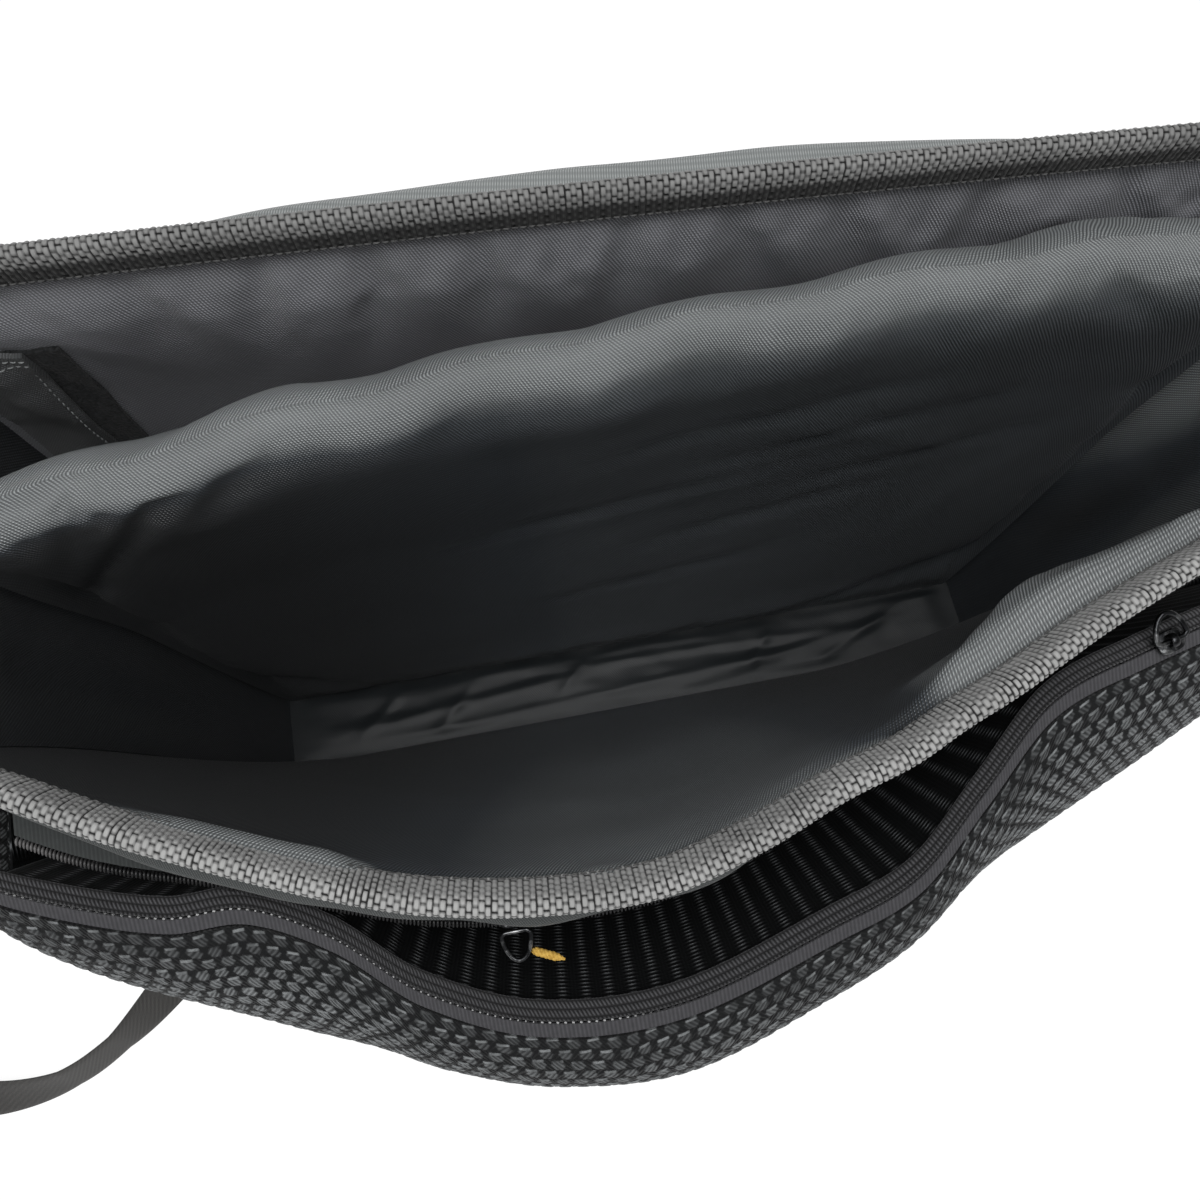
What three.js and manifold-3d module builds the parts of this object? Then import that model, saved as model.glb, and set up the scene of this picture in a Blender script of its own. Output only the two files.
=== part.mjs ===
import * as THREE from 'three';
import { mergeVertices } from 'three/addons/utils/BufferGeometryUtils.js';
import Module from 'manifold-3d';

// Sizes in millimetres. X runs along the bag, Y to its back, Z up from the ground.
const GAP = 0.3;
const BASE_THICK = 3;
const BASE_FRONT = 48.6;
const BASE_BACK = 48.6;
const BASE_CORNER = 14;
const BASE_LIP = 5;
const FLOOR = BASE_THICK + GAP;
const HALF_BOTTOM = 180;
const HALF_TOP = 222;
const FLARE_POWER = 0.8;

// Front wall
const FRONT_FOOT = 42;
const FRONT_LENGTH = 265;
const FRONT_HALF = 1;
const RIM_ABOVE = 3;
const RIM_SPANS = 26;
const RIM_FLARE = 14;
const FLARE_PULL = 0.6;
const LOW_LEAN = 0.96;
const PUFF = { from: 0.7, peak: 0.895, end: 0.925 };
const ROLL = { from: 0.72, peak: 0.895, end: 0.925 };
const END_FADE = { from: 0.93, end: 0.99 };

// Back wall
const BACK_FOOT = 41;
const BACK_PAD = 4.5;
const BACK_SPANS = 16;
const EDGE_HALF = 1.2;
const BACK_RIM = { y: 39.2, yTilt: -8.0, yBow: -4.7, z: 288.2, zTilt: -4.9, zBow: 3.4 };
const CURVE_SPAN = 200;
const PAD = { foot: 0.05, from: 0.9, end: 0.958 };
const SLACK = { low: 0.2, knee: 0.7, high: 0.94, fold: 0.943, end: 0.96, upperShare: 0.75 };

// Padded divider
const DIVIDER_FOOT_HALF = 6;
const DIVIDER_HALF = 10;
const DIVIDER_SWELL = { from: 0.5, to: 0.92 };
const DIVIDER_TOP = { y: 6.8, yTilt: 8.2, yBow: -10.6, z: 273.2, zTilt: 6.0, zBow: -2.9 };
const DIVIDER_WAVE = 1.3;
const DIVIDER_WAVES = 6.5;
const DIVIDER_END_GAP = 2;
const DIVIDER_SPANS = 24;
const ROUND_LIMIT = 0.995;

// Gussets
const GUSSET_INSET = 2.6;
const GUSSET_HALF = 1.1;
const GUSSET_TOP = 0.9;
const GUSSET_BULGE = 9;
const GUSSET_SWELL = 0.4;
const GUSSET_SPANS = 12;
const GUSSET_RISES = 8;

// Binding folded over the rims
const BINDING_HALF = 0.6;

// Mesh pocket on the front
const POCKET_SIDE = 13;
const POCKET_ROUND = 6;
const MESH_HALF = 1.5;
const MESH_EDGE_HALF = 0.6;
const MESH_THIN_FROM = 0.9;
const MESH_LOW = { out: 0.45, up: 0.36 };
const MESH_HIGH_UP = 0.82;
const MESH_REACH_AT = 0.8;
const KNIT_HALF = 0.4;
const KNIT_RISES = 4;
const TAPE_HALF = 0.4;
const FRONT_TAPE = 4.5;
const REAR_TAPE = 6.5;
const FRONT_TAPE_FALL = 30;
const REAR_TAPE_FALL = 12;
const SLIT_HALF = 0.35;
const ZIP_END = 0.92;
const ZIP_SPANS = 26;
const COIL_RADIUS = 1.1;
const COIL_DROP = 2.6;

// Zip under the roll of the front rim
const RIM_ZIP_END = 0.93;
const RIM_ZIP_AT = 0.84;
const RIM_ZIP_FALL = 10;
const RIM_COIL_RADIUS = 1.2;
const RIM_SLIDER_AT = -0.31;
const RIM_SLIDER = { length: 9, width: 6, thick: 3, corner: 2 };
const RING = { width: 9, height: 9, wire: 0.7, lean: 115 };
const TIP = { length: 10, width: 3.2, thick: 2.2, corner: 1, turn: -14, ahead: 8.2, right: 8.6, drop: 5.2 };

// Slider and wire pull of the pocket zip
const SLIDER_AT = 0.615;
const SLIDER_LENGTH = 9;
const SLIDER_WIDTH = 7;
const SLIDER_THICK = 1.4;
const SLIDER_CORNER = 2;
const ARCH_LENGTH = 3;
const ARCH_OUTER = 2.3;
const ARCH_HOLE = 1.3;
const ARCH_RISE = 1.6;
const WIRE = 0.85;
const PULL_WIDTH = 10.5;
const PULL_HEIGHT = 9;
const PULL_LEAN = 62;
const BOW_SPANS = 12;
const BAR_SPANS = 2;
const END_BALL = 1.1;

// Fineness of round sections
const ROD_SIDES = 6;
const ARC_SPANS = 4;
const ARCH_SPANS = 6;

// Velvet strip and cloth tab on the back wall: from and to along it, low and high up it
const STRIP = { from: -0.93, to: -0.8, low: 0.5, high: 0.885, half: 0.8 };
const TAB = { from: -0.95, to: -0.845, low: 0.5, high: 0.89, half: 0.9 };
const PATCH_SPANS = 4;
const PATCH_RISES = 5;

// Shoulder strap of flat webbing
const STRAP_WIDTH = 20;
const STRAP_HALF = 0.8;

// Lean of the front wall from the vertical, slack of its lining and roll of its shell, by place along the rim
const FRONT_RIM = [
  { x: -222, lean: 10.4, puff: 0.5, roll: 6 },
  { x: -196, lean: 13.4, puff: 0.5, roll: 10 },
  { x: -170, lean: 16.6, puff: 1, roll: 12 },
  { x: -137, lean: 20.1, puff: 1.5, roll: 13 },
  { x: -114, lean: 22.3, puff: 1.5, roll: 14 },
  { x: -91, lean: 24.1, puff: 1, roll: 15 },
  { x: -59, lean: 25.5, puff: 1, roll: 14 },
  { x: -26, lean: 25.8, puff: 1, roll: 13 },
  { x: 4, lean: 24.2, puff: 1.5, roll: 12 },
  { x: 29, lean: 22.2, puff: 2.5, roll: 10 },
  { x: 50, lean: 20.9, puff: 3, roll: 8 },
  { x: 66, lean: 19.4, puff: 4.5, roll: 6 },
  { x: 84, lean: 17.9, puff: 8.5, roll: 4 },
  { x: 112, lean: 15.2, puff: 12, roll: 2 },
  { x: 145, lean: 12.6, puff: 10, roll: 1.5 },
  { x: 185, lean: 9.8, puff: 6.5, roll: 1.5 },
  { x: 222, lean: 8.2, puff: 0.5, roll: 1.5 },
];

// How far the outer cloth of the back wall stands off behind the rim
const BACK_SLACK = [
  { x: -222, slack: 2 },
  { x: -125, slack: 16.5 },
  { x: -65, slack: 20 },
  { x: 0, slack: 22.5 },
  { x: 60, slack: 22.5 },
  { x: 125, slack: 17 },
  { x: 175, slack: 9 },
  { x: 222, slack: 2 },
];

// Slit of the pocket zip seen from above, and how far the mesh below it reaches out
const POCKET_TOP = [
  { x: -235, y: -121, z: 229, reach: -140 },
  { x: -206, y: -129, z: 227, reach: -150 },
  { x: -168, y: -139, z: 223, reach: -163.5 },
  { x: -145, y: -140, z: 222, reach: -172.5 },
  { x: -122, y: -152, z: 216, reach: -182 },
  { x: -100, y: -171, z: 205, reach: -193 },
  { x: -67, y: -186, z: 195, reach: -203.5 },
  { x: -23, y: -189, z: 193, reach: -207 },
  { x: 29, y: -176, z: 202, reach: -193.5 },
  { x: 56, y: -167, z: 208, reach: -183 },
  { x: 80, y: -147, z: 218, reach: -168 },
  { x: 105, y: -126, z: 228, reach: -157 },
  { x: 135, y: -117, z: 231, reach: -146 },
  { x: 180, y: -108, z: 233, reach: -130 },
  { x: 235, y: -98, z: 235, reach: -111 },
];

// Width of the loose zip tape under the roll of the front rim
const RIM_ZIP = [
  { x: -222, width: 13 },
  { x: -190, width: 12 },
  { x: -150, width: 6 },
  { x: -60, width: 5 },
  { x: 60, width: 5 },
  { x: 130, width: 7 },
  { x: 222, width: 6 },
];

// Folded webbing in section: off the wall and along it from the rim edge
const FOLD = [
  { off: 1.95, along: -11 },
  { off: 2.2, along: -6 },
  { off: 2.4, along: -1.5 },
  { off: 1.9, along: 1.2 },
  { off: 0, along: 2.1 },
  { off: -1.9, along: 1.2 },
  { off: -2.4, along: -1.5 },
  { off: -2.2, along: -6 },
  { off: -1.95, along: -11 },
];

// Middle of the shoulder strap from end to end, and the tilt of its width from the level
const STRAP = [
  { x: -223.4, y: -30, z: 214, tilt: 0 },
  { x: -225.5, y: -30, z: 170, tilt: 0 },
  { x: -232, y: -31, z: 110, tilt: 0 },
  { x: -252, y: -34, z: 50, tilt: 0 },
  { x: -288, y: -42, z: 12, tilt: 2 },
  { x: -330, y: -60, z: 2.2, tilt: 4 },
  { x: -364, y: -94, z: 1.8, tilt: 4 },
  { x: -372, y: -134, z: 2.2, tilt: 6 },
  { x: -350, y: -160, z: 5.2, tilt: 25 },
  { x: -321, y: -168, z: 8.0, tilt: 45 },
  { x: -288, y: -166, z: 10.4, tilt: 72 },
  { x: -265, y: -155, z: 10.6, tilt: 76 },
  { x: -243, y: -136, z: 8.6, tilt: 50 },
  { x: -218, y: -108, z: 4.6, tilt: 20 },
  { x: -180, y: -92, z: 1.8, tilt: 4 },
  { x: -100, y: -80, z: 1.4, tilt: 2 },
  { x: 0, y: -78, z: 1.4, tilt: 2 },
  { x: 100, y: -78, z: 1.4, tilt: 2 },
  { x: 165, y: -72, z: 1.4, tilt: 2 },
  { x: 205, y: -54, z: 1.8, tilt: 4 },
  { x: 236, y: -36, z: 4, tilt: 4 },
  { x: 250, y: -28, z: 18, tilt: 0 },
  { x: 248, y: -28, z: 60, tilt: 0 },
  { x: 236, y: -29, z: 120, tilt: 0 },
  { x: 225.5, y: -30, z: 175, tilt: 0 },
  { x: 223.4, y: -30, z: 214, tilt: 0 },
];

const RAD = Math.PI / 180;
const mix = THREE.MathUtils.lerp;
const clamp = THREE.MathUtils.clamp;
const ramp = THREE.MathUtils.smoothstep;
const vec = (x, y, z) => new THREE.Vector3(x, y, z);
const spread = (count, from, to) => Array.from({ length: count + 1 }, (_, i) => mix(from, to, i / count));

// One point of a smooth run between two values with given slopes
function hermite(t, a, slopeA, b, slopeB) {
  const s = 1 - t;
  return a * s * s * (1 + 2 * t) + b * t * t * (3 - 2 * t) + slopeA * t * s * s - slopeB * t * t * s;
}

// A smooth curve through one column of a table, read at a value of another column
function column(table, across, key) {
  const last = table.length - 1;
  const slope = table.map((row, i) => {
    const before = table[Math.max(i - 1, 0)];
    const after = table[Math.min(i + 1, last)];
    return (after[key] - before[key]) / (after[across] - before[across]);
  });
  return (at) => {
    const place = clamp(at, table[0][across], table[last][across]);
    let i = 0;
    while (i < last - 1 && place > table[i + 1][across]) i += 1;
    const width = table[i + 1][across] - table[i][across];
    const t = (place - table[i][across]) / width;
    return hermite(t, table[i][key], slope[i] * width, table[i + 1][key], slope[i + 1] * width);
  };
}

const leanAt = column(FRONT_RIM, 'x', 'lean');
const puffAt = column(FRONT_RIM, 'x', 'puff');
const rollAt = column(FRONT_RIM, 'x', 'roll');
const slackAt = column(BACK_SLACK, 'x', 'slack');
const zipYAt = column(POCKET_TOP, 'x', 'y');
const zipZAt = column(POCKET_TOP, 'x', 'z');
const reachAt = column(POCKET_TOP, 'x', 'reach');
const rimZipAt = column(RIM_ZIP, 'x', 'width');

// A closed solid from triangles on shared points, turned to face out
function solid(points, faces) {
  const at = (k) => vec().fromArray(points, 3 * k);
  let volume = 0;
  for (let f = 0; f < faces.length; f += 3) {
    const [a, b, c] = [at(faces[f]), at(faces[f + 1]), at(faces[f + 2])];
    volume += a.dot(b.cross(c));
  }
  if (volume < 0) faces.reverse();
  const geometry = new THREE.BufferGeometry();
  geometry.setAttribute('position', new THREE.Float32BufferAttribute(points, 3));
  geometry.setIndex(faces);
  return geometry;
}

// Closed solid between two grids of points
function between(near, far) {
  const rows = near.length;
  const cols = near[0].length;
  const points = [near, far].flat(2).flatMap((p) => p.toArray());
  const id = (side, i, j) => (side * rows + i) * cols + j;
  const faces = [];
  const quad = (a, b, c, d) => faces.push(a, b, c, a, c, d);
  for (let i = 0; i < rows - 1; i += 1) {
    for (let j = 0; j < cols - 1; j += 1) {
      quad(id(0, i, j), id(0, i + 1, j), id(0, i + 1, j + 1), id(0, i, j + 1));
      quad(id(1, i, j), id(1, i, j + 1), id(1, i + 1, j + 1), id(1, i + 1, j));
    }
    quad(id(0, i, 0), id(1, i, 0), id(1, i + 1, 0), id(0, i + 1, 0));
    quad(id(0, i, cols - 1), id(0, i + 1, cols - 1), id(1, i + 1, cols - 1), id(1, i, cols - 1));
  }
  for (let j = 0; j < cols - 1; j += 1) {
    quad(id(0, 0, j), id(0, 0, j + 1), id(1, 0, j + 1), id(1, 0, j));
    quad(id(0, rows - 1, j), id(1, rows - 1, j), id(1, rows - 1, j + 1), id(0, rows - 1, j + 1));
  }
  return solid(points, faces);
}

// Thick cloth on both sides of a surface, each side with its own stand-off, cut level at its lowest
function sheet(us, vs, surface, nearOff, farOff, lowest = 0) {
  const mid = us.map((u) => vs.map((v) => surface(u, v)));
  const normal = (i, j) => {
    const along = mid[Math.min(i + 1, us.length - 1)][j].clone().sub(mid[Math.max(i - 1, 0)][j]);
    const up = mid[i][Math.min(j + 1, vs.length - 1)].clone().sub(mid[i][Math.max(j - 1, 0)]);
    return along.cross(up).normalize();
  };
  const cut = vec(Infinity, Infinity, Infinity);
  const shifted = (sign, off) => us.map((u, i) => vs.map((v, j) => {
    const point = mid[i][j].clone().addScaledVector(normal(i, j), sign * off(u, v));
    return point.clamp(vec(-Infinity, -Infinity, lowest), cut);
  }));
  return between(shifted(1, nearOff), shifted(-1, farOff));
}

const even = (half) => () => half;

// Point, outward normal and upward direction of a wall surface
function frameOf(surface, u, v) {
  const step = 0.002;
  const along = surface(u + step, v).sub(surface(u - step, v));
  const up = surface(u, v + step).sub(surface(u, v - step));
  const pace = up.length() / (2 * step);
  const normal = along.cross(up).normalize();
  return { point: surface(u, v), normal, up: up.normalize(), pace };
}

// Half the length of the bag at a height
const halfAt = (z) => {
  const rise = Math.max(z - FLOOR, 0) / FRONT_LENGTH;
  return HALF_BOTTOM + (HALF_TOP - HALF_BOTTOM) * rise ** FLARE_POWER;
};

// Front wall in section, straight from the floor and flared at the rim
function frontWall(u, v) {
  const lean = leanAt(u * HALF_TOP) * RAD;
  const flare = lean + RIM_FLARE * RAD;
  const low = lean * LOW_LEAN;
  const topY = -FRONT_FOOT - FRONT_LENGTH * Math.sin(lean) - RIM_ABOVE * Math.sin(flare);
  const topZ = FLOOR + FRONT_LENGTH * Math.cos(lean) + RIM_ABOVE * Math.cos(flare);
  const pull = FRONT_LENGTH * FLARE_PULL;
  const y = hermite(v, -FRONT_FOOT, -FRONT_LENGTH * Math.sin(low), topY, -pull * Math.sin(flare));
  const z = hermite(v, FLOOR, FRONT_LENGTH * Math.cos(low), topZ, pull * Math.cos(flare));
  return vec(u * halfAt(z), y, z);
}

const curveAt = (rim, x, key) => {
  const k = x / CURVE_SPAN;
  return rim[key] + rim[`${key}Tilt`] * k + rim[`${key}Bow`] * k * k;
};

function backWall(u, v) {
  const x = u * HALF_TOP;
  const rimY = curveAt(BACK_RIM, x, 'y');
  const rimZ = curveAt(BACK_RIM, x, 'z') + RIM_ABOVE;
  const z = mix(FLOOR, rimZ, v);
  return vec(u * halfAt(z), mix(BACK_FOOT, rimY, v), z);
}

// Soft shapes up the walls: slack near the rim, padding between the seams
const swell = (v, { from, peak, end }) => ramp(v, from, peak) * (1 - ramp(v, peak, end));
const puffShape = (v) => swell(v, PUFF);
const rollShape = (v) => swell(v, ROLL);
const slackShape = (v) => {
  const rise = mix(ramp(v, SLACK.low, SLACK.knee), ramp(v, SLACK.knee, SLACK.high), SLACK.upperShare);
  return rise * (1 - ramp(v, SLACK.fold, SLACK.end));
};
const padShape = (v) => ramp(v, 0, PAD.foot) * (1 - ramp(v, PAD.from, PAD.end));
const endFade = (u) => 1 - ramp(Math.abs(u), END_FADE.from, END_FADE.end);

const WALL_VS = [0, 0.3, 0.5, 0.64, 0.73, 0.79, 0.83, 0.86, 0.88, 0.895, 0.91, 0.925, 0.95, 0.975, 1];
const frontPanel = sheet(
  spread(RIM_SPANS, -1, 1), WALL_VS, frontWall,
  (u, v) => FRONT_HALF + rollAt(u * HALF_TOP) * rollShape(v) * endFade(u),
  (u, v) => FRONT_HALF + puffAt(u * HALF_TOP) * puffShape(v) * endFade(u),
  FLOOR,
);

const BACK_VS = [0, 0.025, 0.05, 0.2, 0.4, 0.55, 0.68, 0.77, 0.84, 0.89, 0.92, 0.943, 0.952, 0.96, 0.98, 1];
const backInner = (u, v) => EDGE_HALF + BACK_PAD * padShape(v);
const backPanel = sheet(
  spread(BACK_SPANS, -1, 1), BACK_VS, backWall, backInner,
  (u, v) => EDGE_HALF + BACK_PAD * padShape(v) + slackAt(u * HALF_TOP) * slackShape(v) * endFade(u),
  FLOOR,
);

// Divider, fuller towards its rounded top edge, its back face straight
const dividerSwell = (v) => ramp(v, DIVIDER_SWELL.from, DIVIDER_SWELL.to);
const dividerFull = (v) => mix(DIVIDER_FOOT_HALF, DIVIDER_HALF, dividerSwell(v));
function dividerMid(u, v) {
  const x = u * HALF_TOP;
  const ahead = dividerFull(v) - DIVIDER_FOOT_HALF;
  const wave = DIVIDER_WAVE * Math.sin(DIVIDER_WAVES * Math.PI * u) * v * v;
  const inset = GUSSET_INSET + GUSSET_HALF + DIVIDER_END_GAP;
  const z = mix(FLOOR, curveAt(DIVIDER_TOP, x, 'z'), v);
  return vec(u * (halfAt(z) - inset), (curveAt(DIVIDER_TOP, x, 'y') + wave) * v - ahead, z);
}
const ROUND_FROM = 1 - DIVIDER_HALF / DIVIDER_TOP.z;
const dividerHalf = (u, v) => {
  const t = clamp((v - ROUND_FROM) / (1 - ROUND_FROM), 0, ROUND_LIMIT);
  return dividerFull(v) * Math.sqrt(1 - t * t);
};
const ROUND_VS = [0, 0.3, 0.55, 0.75, 0.9, 1].map((t) => mix(ROUND_FROM, 1, t));
const DIVIDER_VS = [0, 0.25, 0.5, 0.6, 0.7, 0.8, 0.92, ...ROUND_VS];
const divider = sheet(spread(DIVIDER_SPANS, -1, 1), DIVIDER_VS, dividerMid, dividerHalf, dividerHalf, FLOOR);

// Gusset hung between the ends of the front and back walls, bulging out on both sides of the divider
function gussetMid(side, w, v) {
  const front = frontWall(side, v);
  const back = backWall(side, v);
  const frontY = front.y + FRONT_HALF + 2 * GAP;
  const backY = back.y - EDGE_HALF - BACK_PAD - 4 * GAP;
  const seam = (dividerMid(side, v).y - frontY) / (backY - frontY);
  const part = w < seam ? w / seam : (w - seam) / (1 - seam);
  const bulge = GUSSET_BULGE * Math.sin(Math.PI * part) ** 2 * ramp(v, 0, GUSSET_SWELL);
  const z = mix(front.z, back.z, w);
  return vec(side * (halfAt(z) - GUSSET_INSET + bulge), mix(frontY, backY, w), z);
}
const gusset = (side) => sheet(
  spread(GUSSET_SPANS, 0, 1), spread(GUSSET_RISES, 0, GUSSET_TOP), (w, v) => gussetMid(side, w, v),
  even(GUSSET_HALF), even(GUSSET_HALF), FLOOR,
);

// Webbing folded over a rim
function binding(wall, count) {
  const rows = FOLD.map((_, k) => k);
  const folded = (u, k) => {
    const { off, along } = FOLD[k];
    const { pace } = frameOf(wall, u, 1);
    const v = 1 + Math.min(along, 0) / pace;
    const { point, normal, up } = frameOf(wall, u, v);
    return point.addScaledVector(normal, off).addScaledVector(up, Math.max(along, 0));
  };
  return sheet(spread(count, -1, 1), rows, folded, even(BINDING_HALF), even(BINDING_HALF));
}

// Base plate with rounded corners
function roundedPlate(width, depth, corner, thick) {
  const shape = new THREE.Shape();
  const w = width / 2 - corner;
  const d = depth / 2 - corner;
  shape.absarc(w, -d, corner, -Math.PI / 2, 0);
  shape.absarc(w, d, corner, 0, Math.PI / 2);
  shape.absarc(-w, d, corner, Math.PI / 2, Math.PI);
  shape.absarc(-w, -d, corner, Math.PI, 1.5 * Math.PI);
  return new THREE.ExtrudeGeometry(shape, { depth: thick, bevelEnabled: false, curveSegments: ARC_SPANS });
}

// Outer face of the front wall at a height, without its roll
const wallOut = (x, z) => {
  const lean = leanAt(clamp(x, -HALF_TOP, HALF_TOP)) * RAD;
  return -FRONT_FOOT - FRONT_HALF - GAP - (z - FLOOR) * Math.tan(lean);
};
const POCKET_HALF_TOP = HALF_TOP + POCKET_SIDE;
const roundOff = (e) => Math.max(1 - Math.abs(e) ** POCKET_ROUND, 0) ** (1 / POCKET_ROUND);

// A point of the pocket, its distance from the wall drawn in to nothing at the ends
function pocketPoint(e, half, y, z, stand) {
  const wall = wallOut(e * POCKET_HALF_TOP, z) - stand;
  return vec(e * half, wall - Math.max(wall - y, 0) * roundOff(e), z);
}

const pocketHalf = (v) => mix(HALF_BOTTOM + GAP, POCKET_HALF_TOP, Math.max(v, 0) ** FLARE_POWER);
const MESH_STAND = 2 * KNIT_HALF + GAP + MESH_HALF;

// Mesh in section: a curve from the base seam, out to its reach and back up to the zip
function pocketMeshMid(e, v) {
  const x = e * POCKET_HALF_TOP;
  const fall = FRONT_TAPE_FALL * RAD;
  const edge = SLIT_HALF + FRONT_TAPE + 2 * GAP;
  const footY = wallOut(x, FLOOR) - MESH_STAND;
  const topY = zipYAt(x) - edge * Math.cos(fall);
  const topZ = zipZAt(x) - edge * Math.sin(fall);
  const lowY = mix(footY, reachAt(x), MESH_LOW.out);
  const lowZ = mix(FLOOR, topZ, MESH_LOW.up);
  const highZ = mix(FLOOR, topZ, MESH_HIGH_UP);
  const bezier = (t, a, b, c, d) => {
    const s = 1 - t;
    return a * s ** 3 + 3 * b * t * s * s + 3 * c * t * t * s + d * t ** 3;
  };
  const short = reachAt(x) - bezier(MESH_REACH_AT, footY, lowY, 0, topY);
  const highY = short / bezier(MESH_REACH_AT, 0, 0, 1, 0);
  const y = bezier(v, footY, lowY, highY, topY);
  const z = bezier(v, FLOOR, lowZ, highZ, topZ);
  return pocketPoint(e, pocketHalf(v), y, z, MESH_STAND);
}
const SIDE_ES = [0.96, 0.985, 0.9965, 0.9996, 1];
const ZIP_ES = spread(ZIP_SPANS, -ZIP_END, ZIP_END);
const MESH_ES = [...SIDE_ES.map((e) => -e).reverse(), ...ZIP_ES, ...SIDE_ES];
const MESH_VS = [0, 0.16, 0.33, 0.5, 0.64, 0.75, 0.84, 0.91, 0.96, 1];
const meshHalf = (e, v) => mix(MESH_HALF, MESH_EDGE_HALF, ramp(v, MESH_THIN_FROM, 1));
const pocketMesh = sheet(MESH_ES, MESH_VS, pocketMeshMid, meshHalf, meshHalf, FLOOR);

// Zip along the top of the pocket: distance forward of the slit, level of the two tapes
function zipPoint(e, forward, below = 0) {
  const x = e * POCKET_HALF_TOP;
  const fall = (forward > 0 ? FRONT_TAPE_FALL : REAR_TAPE_FALL) * RAD;
  const y = zipYAt(x) - forward * Math.cos(fall);
  const z = zipZAt(x) - Math.abs(forward) * Math.sin(fall) - below;
  return pocketPoint(e, POCKET_HALF_TOP, y, z, KNIT_HALF);
}
const frontTape = sheet(
  ZIP_ES, spread(1, SLIT_HALF, SLIT_HALF + FRONT_TAPE), zipPoint, even(TAPE_HALF), even(TAPE_HALF),
);
const rearTape = sheet(
  ZIP_ES, spread(1, -SLIT_HALF, -SLIT_HALF - REAR_TAPE), zipPoint, even(TAPE_HALF), even(TAPE_HALF),
);

// Knit back of the pocket, from the rear tape down to the base seam
function backingMid(e, v) {
  const x = e * POCKET_HALF_TOP;
  const edge = SLIT_HALF + REAR_TAPE + GAP + KNIT_HALF;
  const topY = zipYAt(x) + edge;
  const topZ = zipZAt(x) - edge * Math.sin(REAR_TAPE_FALL * RAD);
  const half = mix(HALF_BOTTOM - GAP, HALF_TOP - GAP, v ** FLARE_POWER);
  const y = mix(wallOut(x, FLOOR) - KNIT_HALF, topY, v);
  return pocketPoint(e, half, y, mix(FLOOR, topZ, v), KNIT_HALF);
}
const KNIT_VS = spread(KNIT_RISES, 0, 1);
const pocketBacking = sheet(MESH_ES, KNIT_VS, backingMid, even(KNIT_HALF), even(KNIT_HALF), FLOOR);

// Round rod along a run of points
function rod(points, radius, steps) {
  const shape = new THREE.Shape().absarc(0, 0, radius, 0, 2 * Math.PI);
  const extrudePath = new THREE.CatmullRomCurve3(points, false, 'centripetal');
  return new THREE.ExtrudeGeometry(shape, { extrudePath, steps, curveSegments: ROD_SIDES / 2 });
}
const coilRun = ZIP_ES.map((e) => zipPoint(e, 0, COIL_DROP));
const pocketCoil = rod(coilRun, COIL_RADIUS, ZIP_SPANS);

// Loose tape and coil of the second zip, on the outside of the front wall under the roll
function rimZipPoint(u, w) {
  const { point, normal } = frameOf(frontWall, u, RIM_ZIP_AT);
  const roll = rollAt(u * HALF_TOP) * rollShape(RIM_ZIP_AT) * endFade(u);
  const width = rimZipAt(u * HALF_TOP);
  point.addScaledVector(normal, FRONT_HALF + roll + 2 * GAP);
  const fall = RIM_ZIP_FALL * RAD;
  return point.add(vec(0, -w * width * Math.cos(fall), -w * width * Math.sin(fall)));
}
const RIM_US = spread(RIM_SPANS, -RIM_ZIP_END, RIM_ZIP_END);
const rimTape = sheet(RIM_US, [0, 1], rimZipPoint, even(TAPE_HALF), even(TAPE_HALF));
const rimCoilRun = RIM_US.map((u) => rimZipPoint(u, 1).add(vec(0, -RIM_COIL_RADIUS - GAP, 0)));
const rimCoil = rod(rimCoilRun, RIM_COIL_RADIUS, RIM_SPANS);

// Velvet strip and cloth tab on the inner face of the back wall, near its left end
function backPatch({ from, to, low, high, half }, stand) {
  const onWall = (u, v) => {
    const { point, normal } = frameOf(backWall, u, v);
    return point.addScaledVector(normal, backInner(u, v) + stand + half + GAP);
  };
  const us = spread(PATCH_SPANS, from, to);
  return sheet(us, spread(PATCH_RISES, low, high), onWall, even(half), even(half));
}
const loopStrip = backPatch(STRIP, 0);
const holdTab = backPatch(TAB, 2 * STRIP.half + GAP);

// Flat webbing along the strap table
const strapRun = STRAP.map((row) => vec(row.x, row.y, row.z));
const strapCurve = new THREE.CatmullRomCurve3(strapRun, false, 'centripetal');
function strapPoint(row, across) {
  const t = row / (STRAP.length - 1);
  const tangent = strapCurve.getTangent(t);
  const i = Math.min(Math.floor(row), STRAP.length - 2);
  const tilt = mix(STRAP[i].tilt, STRAP[i + 1].tilt, row - i) * RAD;
  const hang = Math.abs(tangent.z) ** 2;
  const level = vec(-tangent.y, tangent.x, 0).normalize();
  const side = tangent.x < 0 || row < STRAP.length / 2 ? 1 : -1;
  const wall = vec(0, row < STRAP.length / 2 ? -1 : 1, 0);
  const lie = level.clone().multiplyScalar(1 - hang).addScaledVector(wall, hang);
  lie.addScaledVector(tangent, -lie.dot(tangent)).normalize();
  const rise = vec().crossVectors(tangent, lie).normalize();
  const width = lie.multiplyScalar(Math.cos(tilt)).addScaledVector(rise, side * Math.sin(tilt));
  return strapCurve.getPoint(t).addScaledVector(width, across * STRAP_WIDTH / 2);
}
const STRAP_ROWS = spread(2 * (STRAP.length - 1), 0, STRAP.length - 1);
const strap = sheet(STRAP_ROWS, [-1, 1], strapPoint, even(STRAP_HALF), even(STRAP_HALF));

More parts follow.
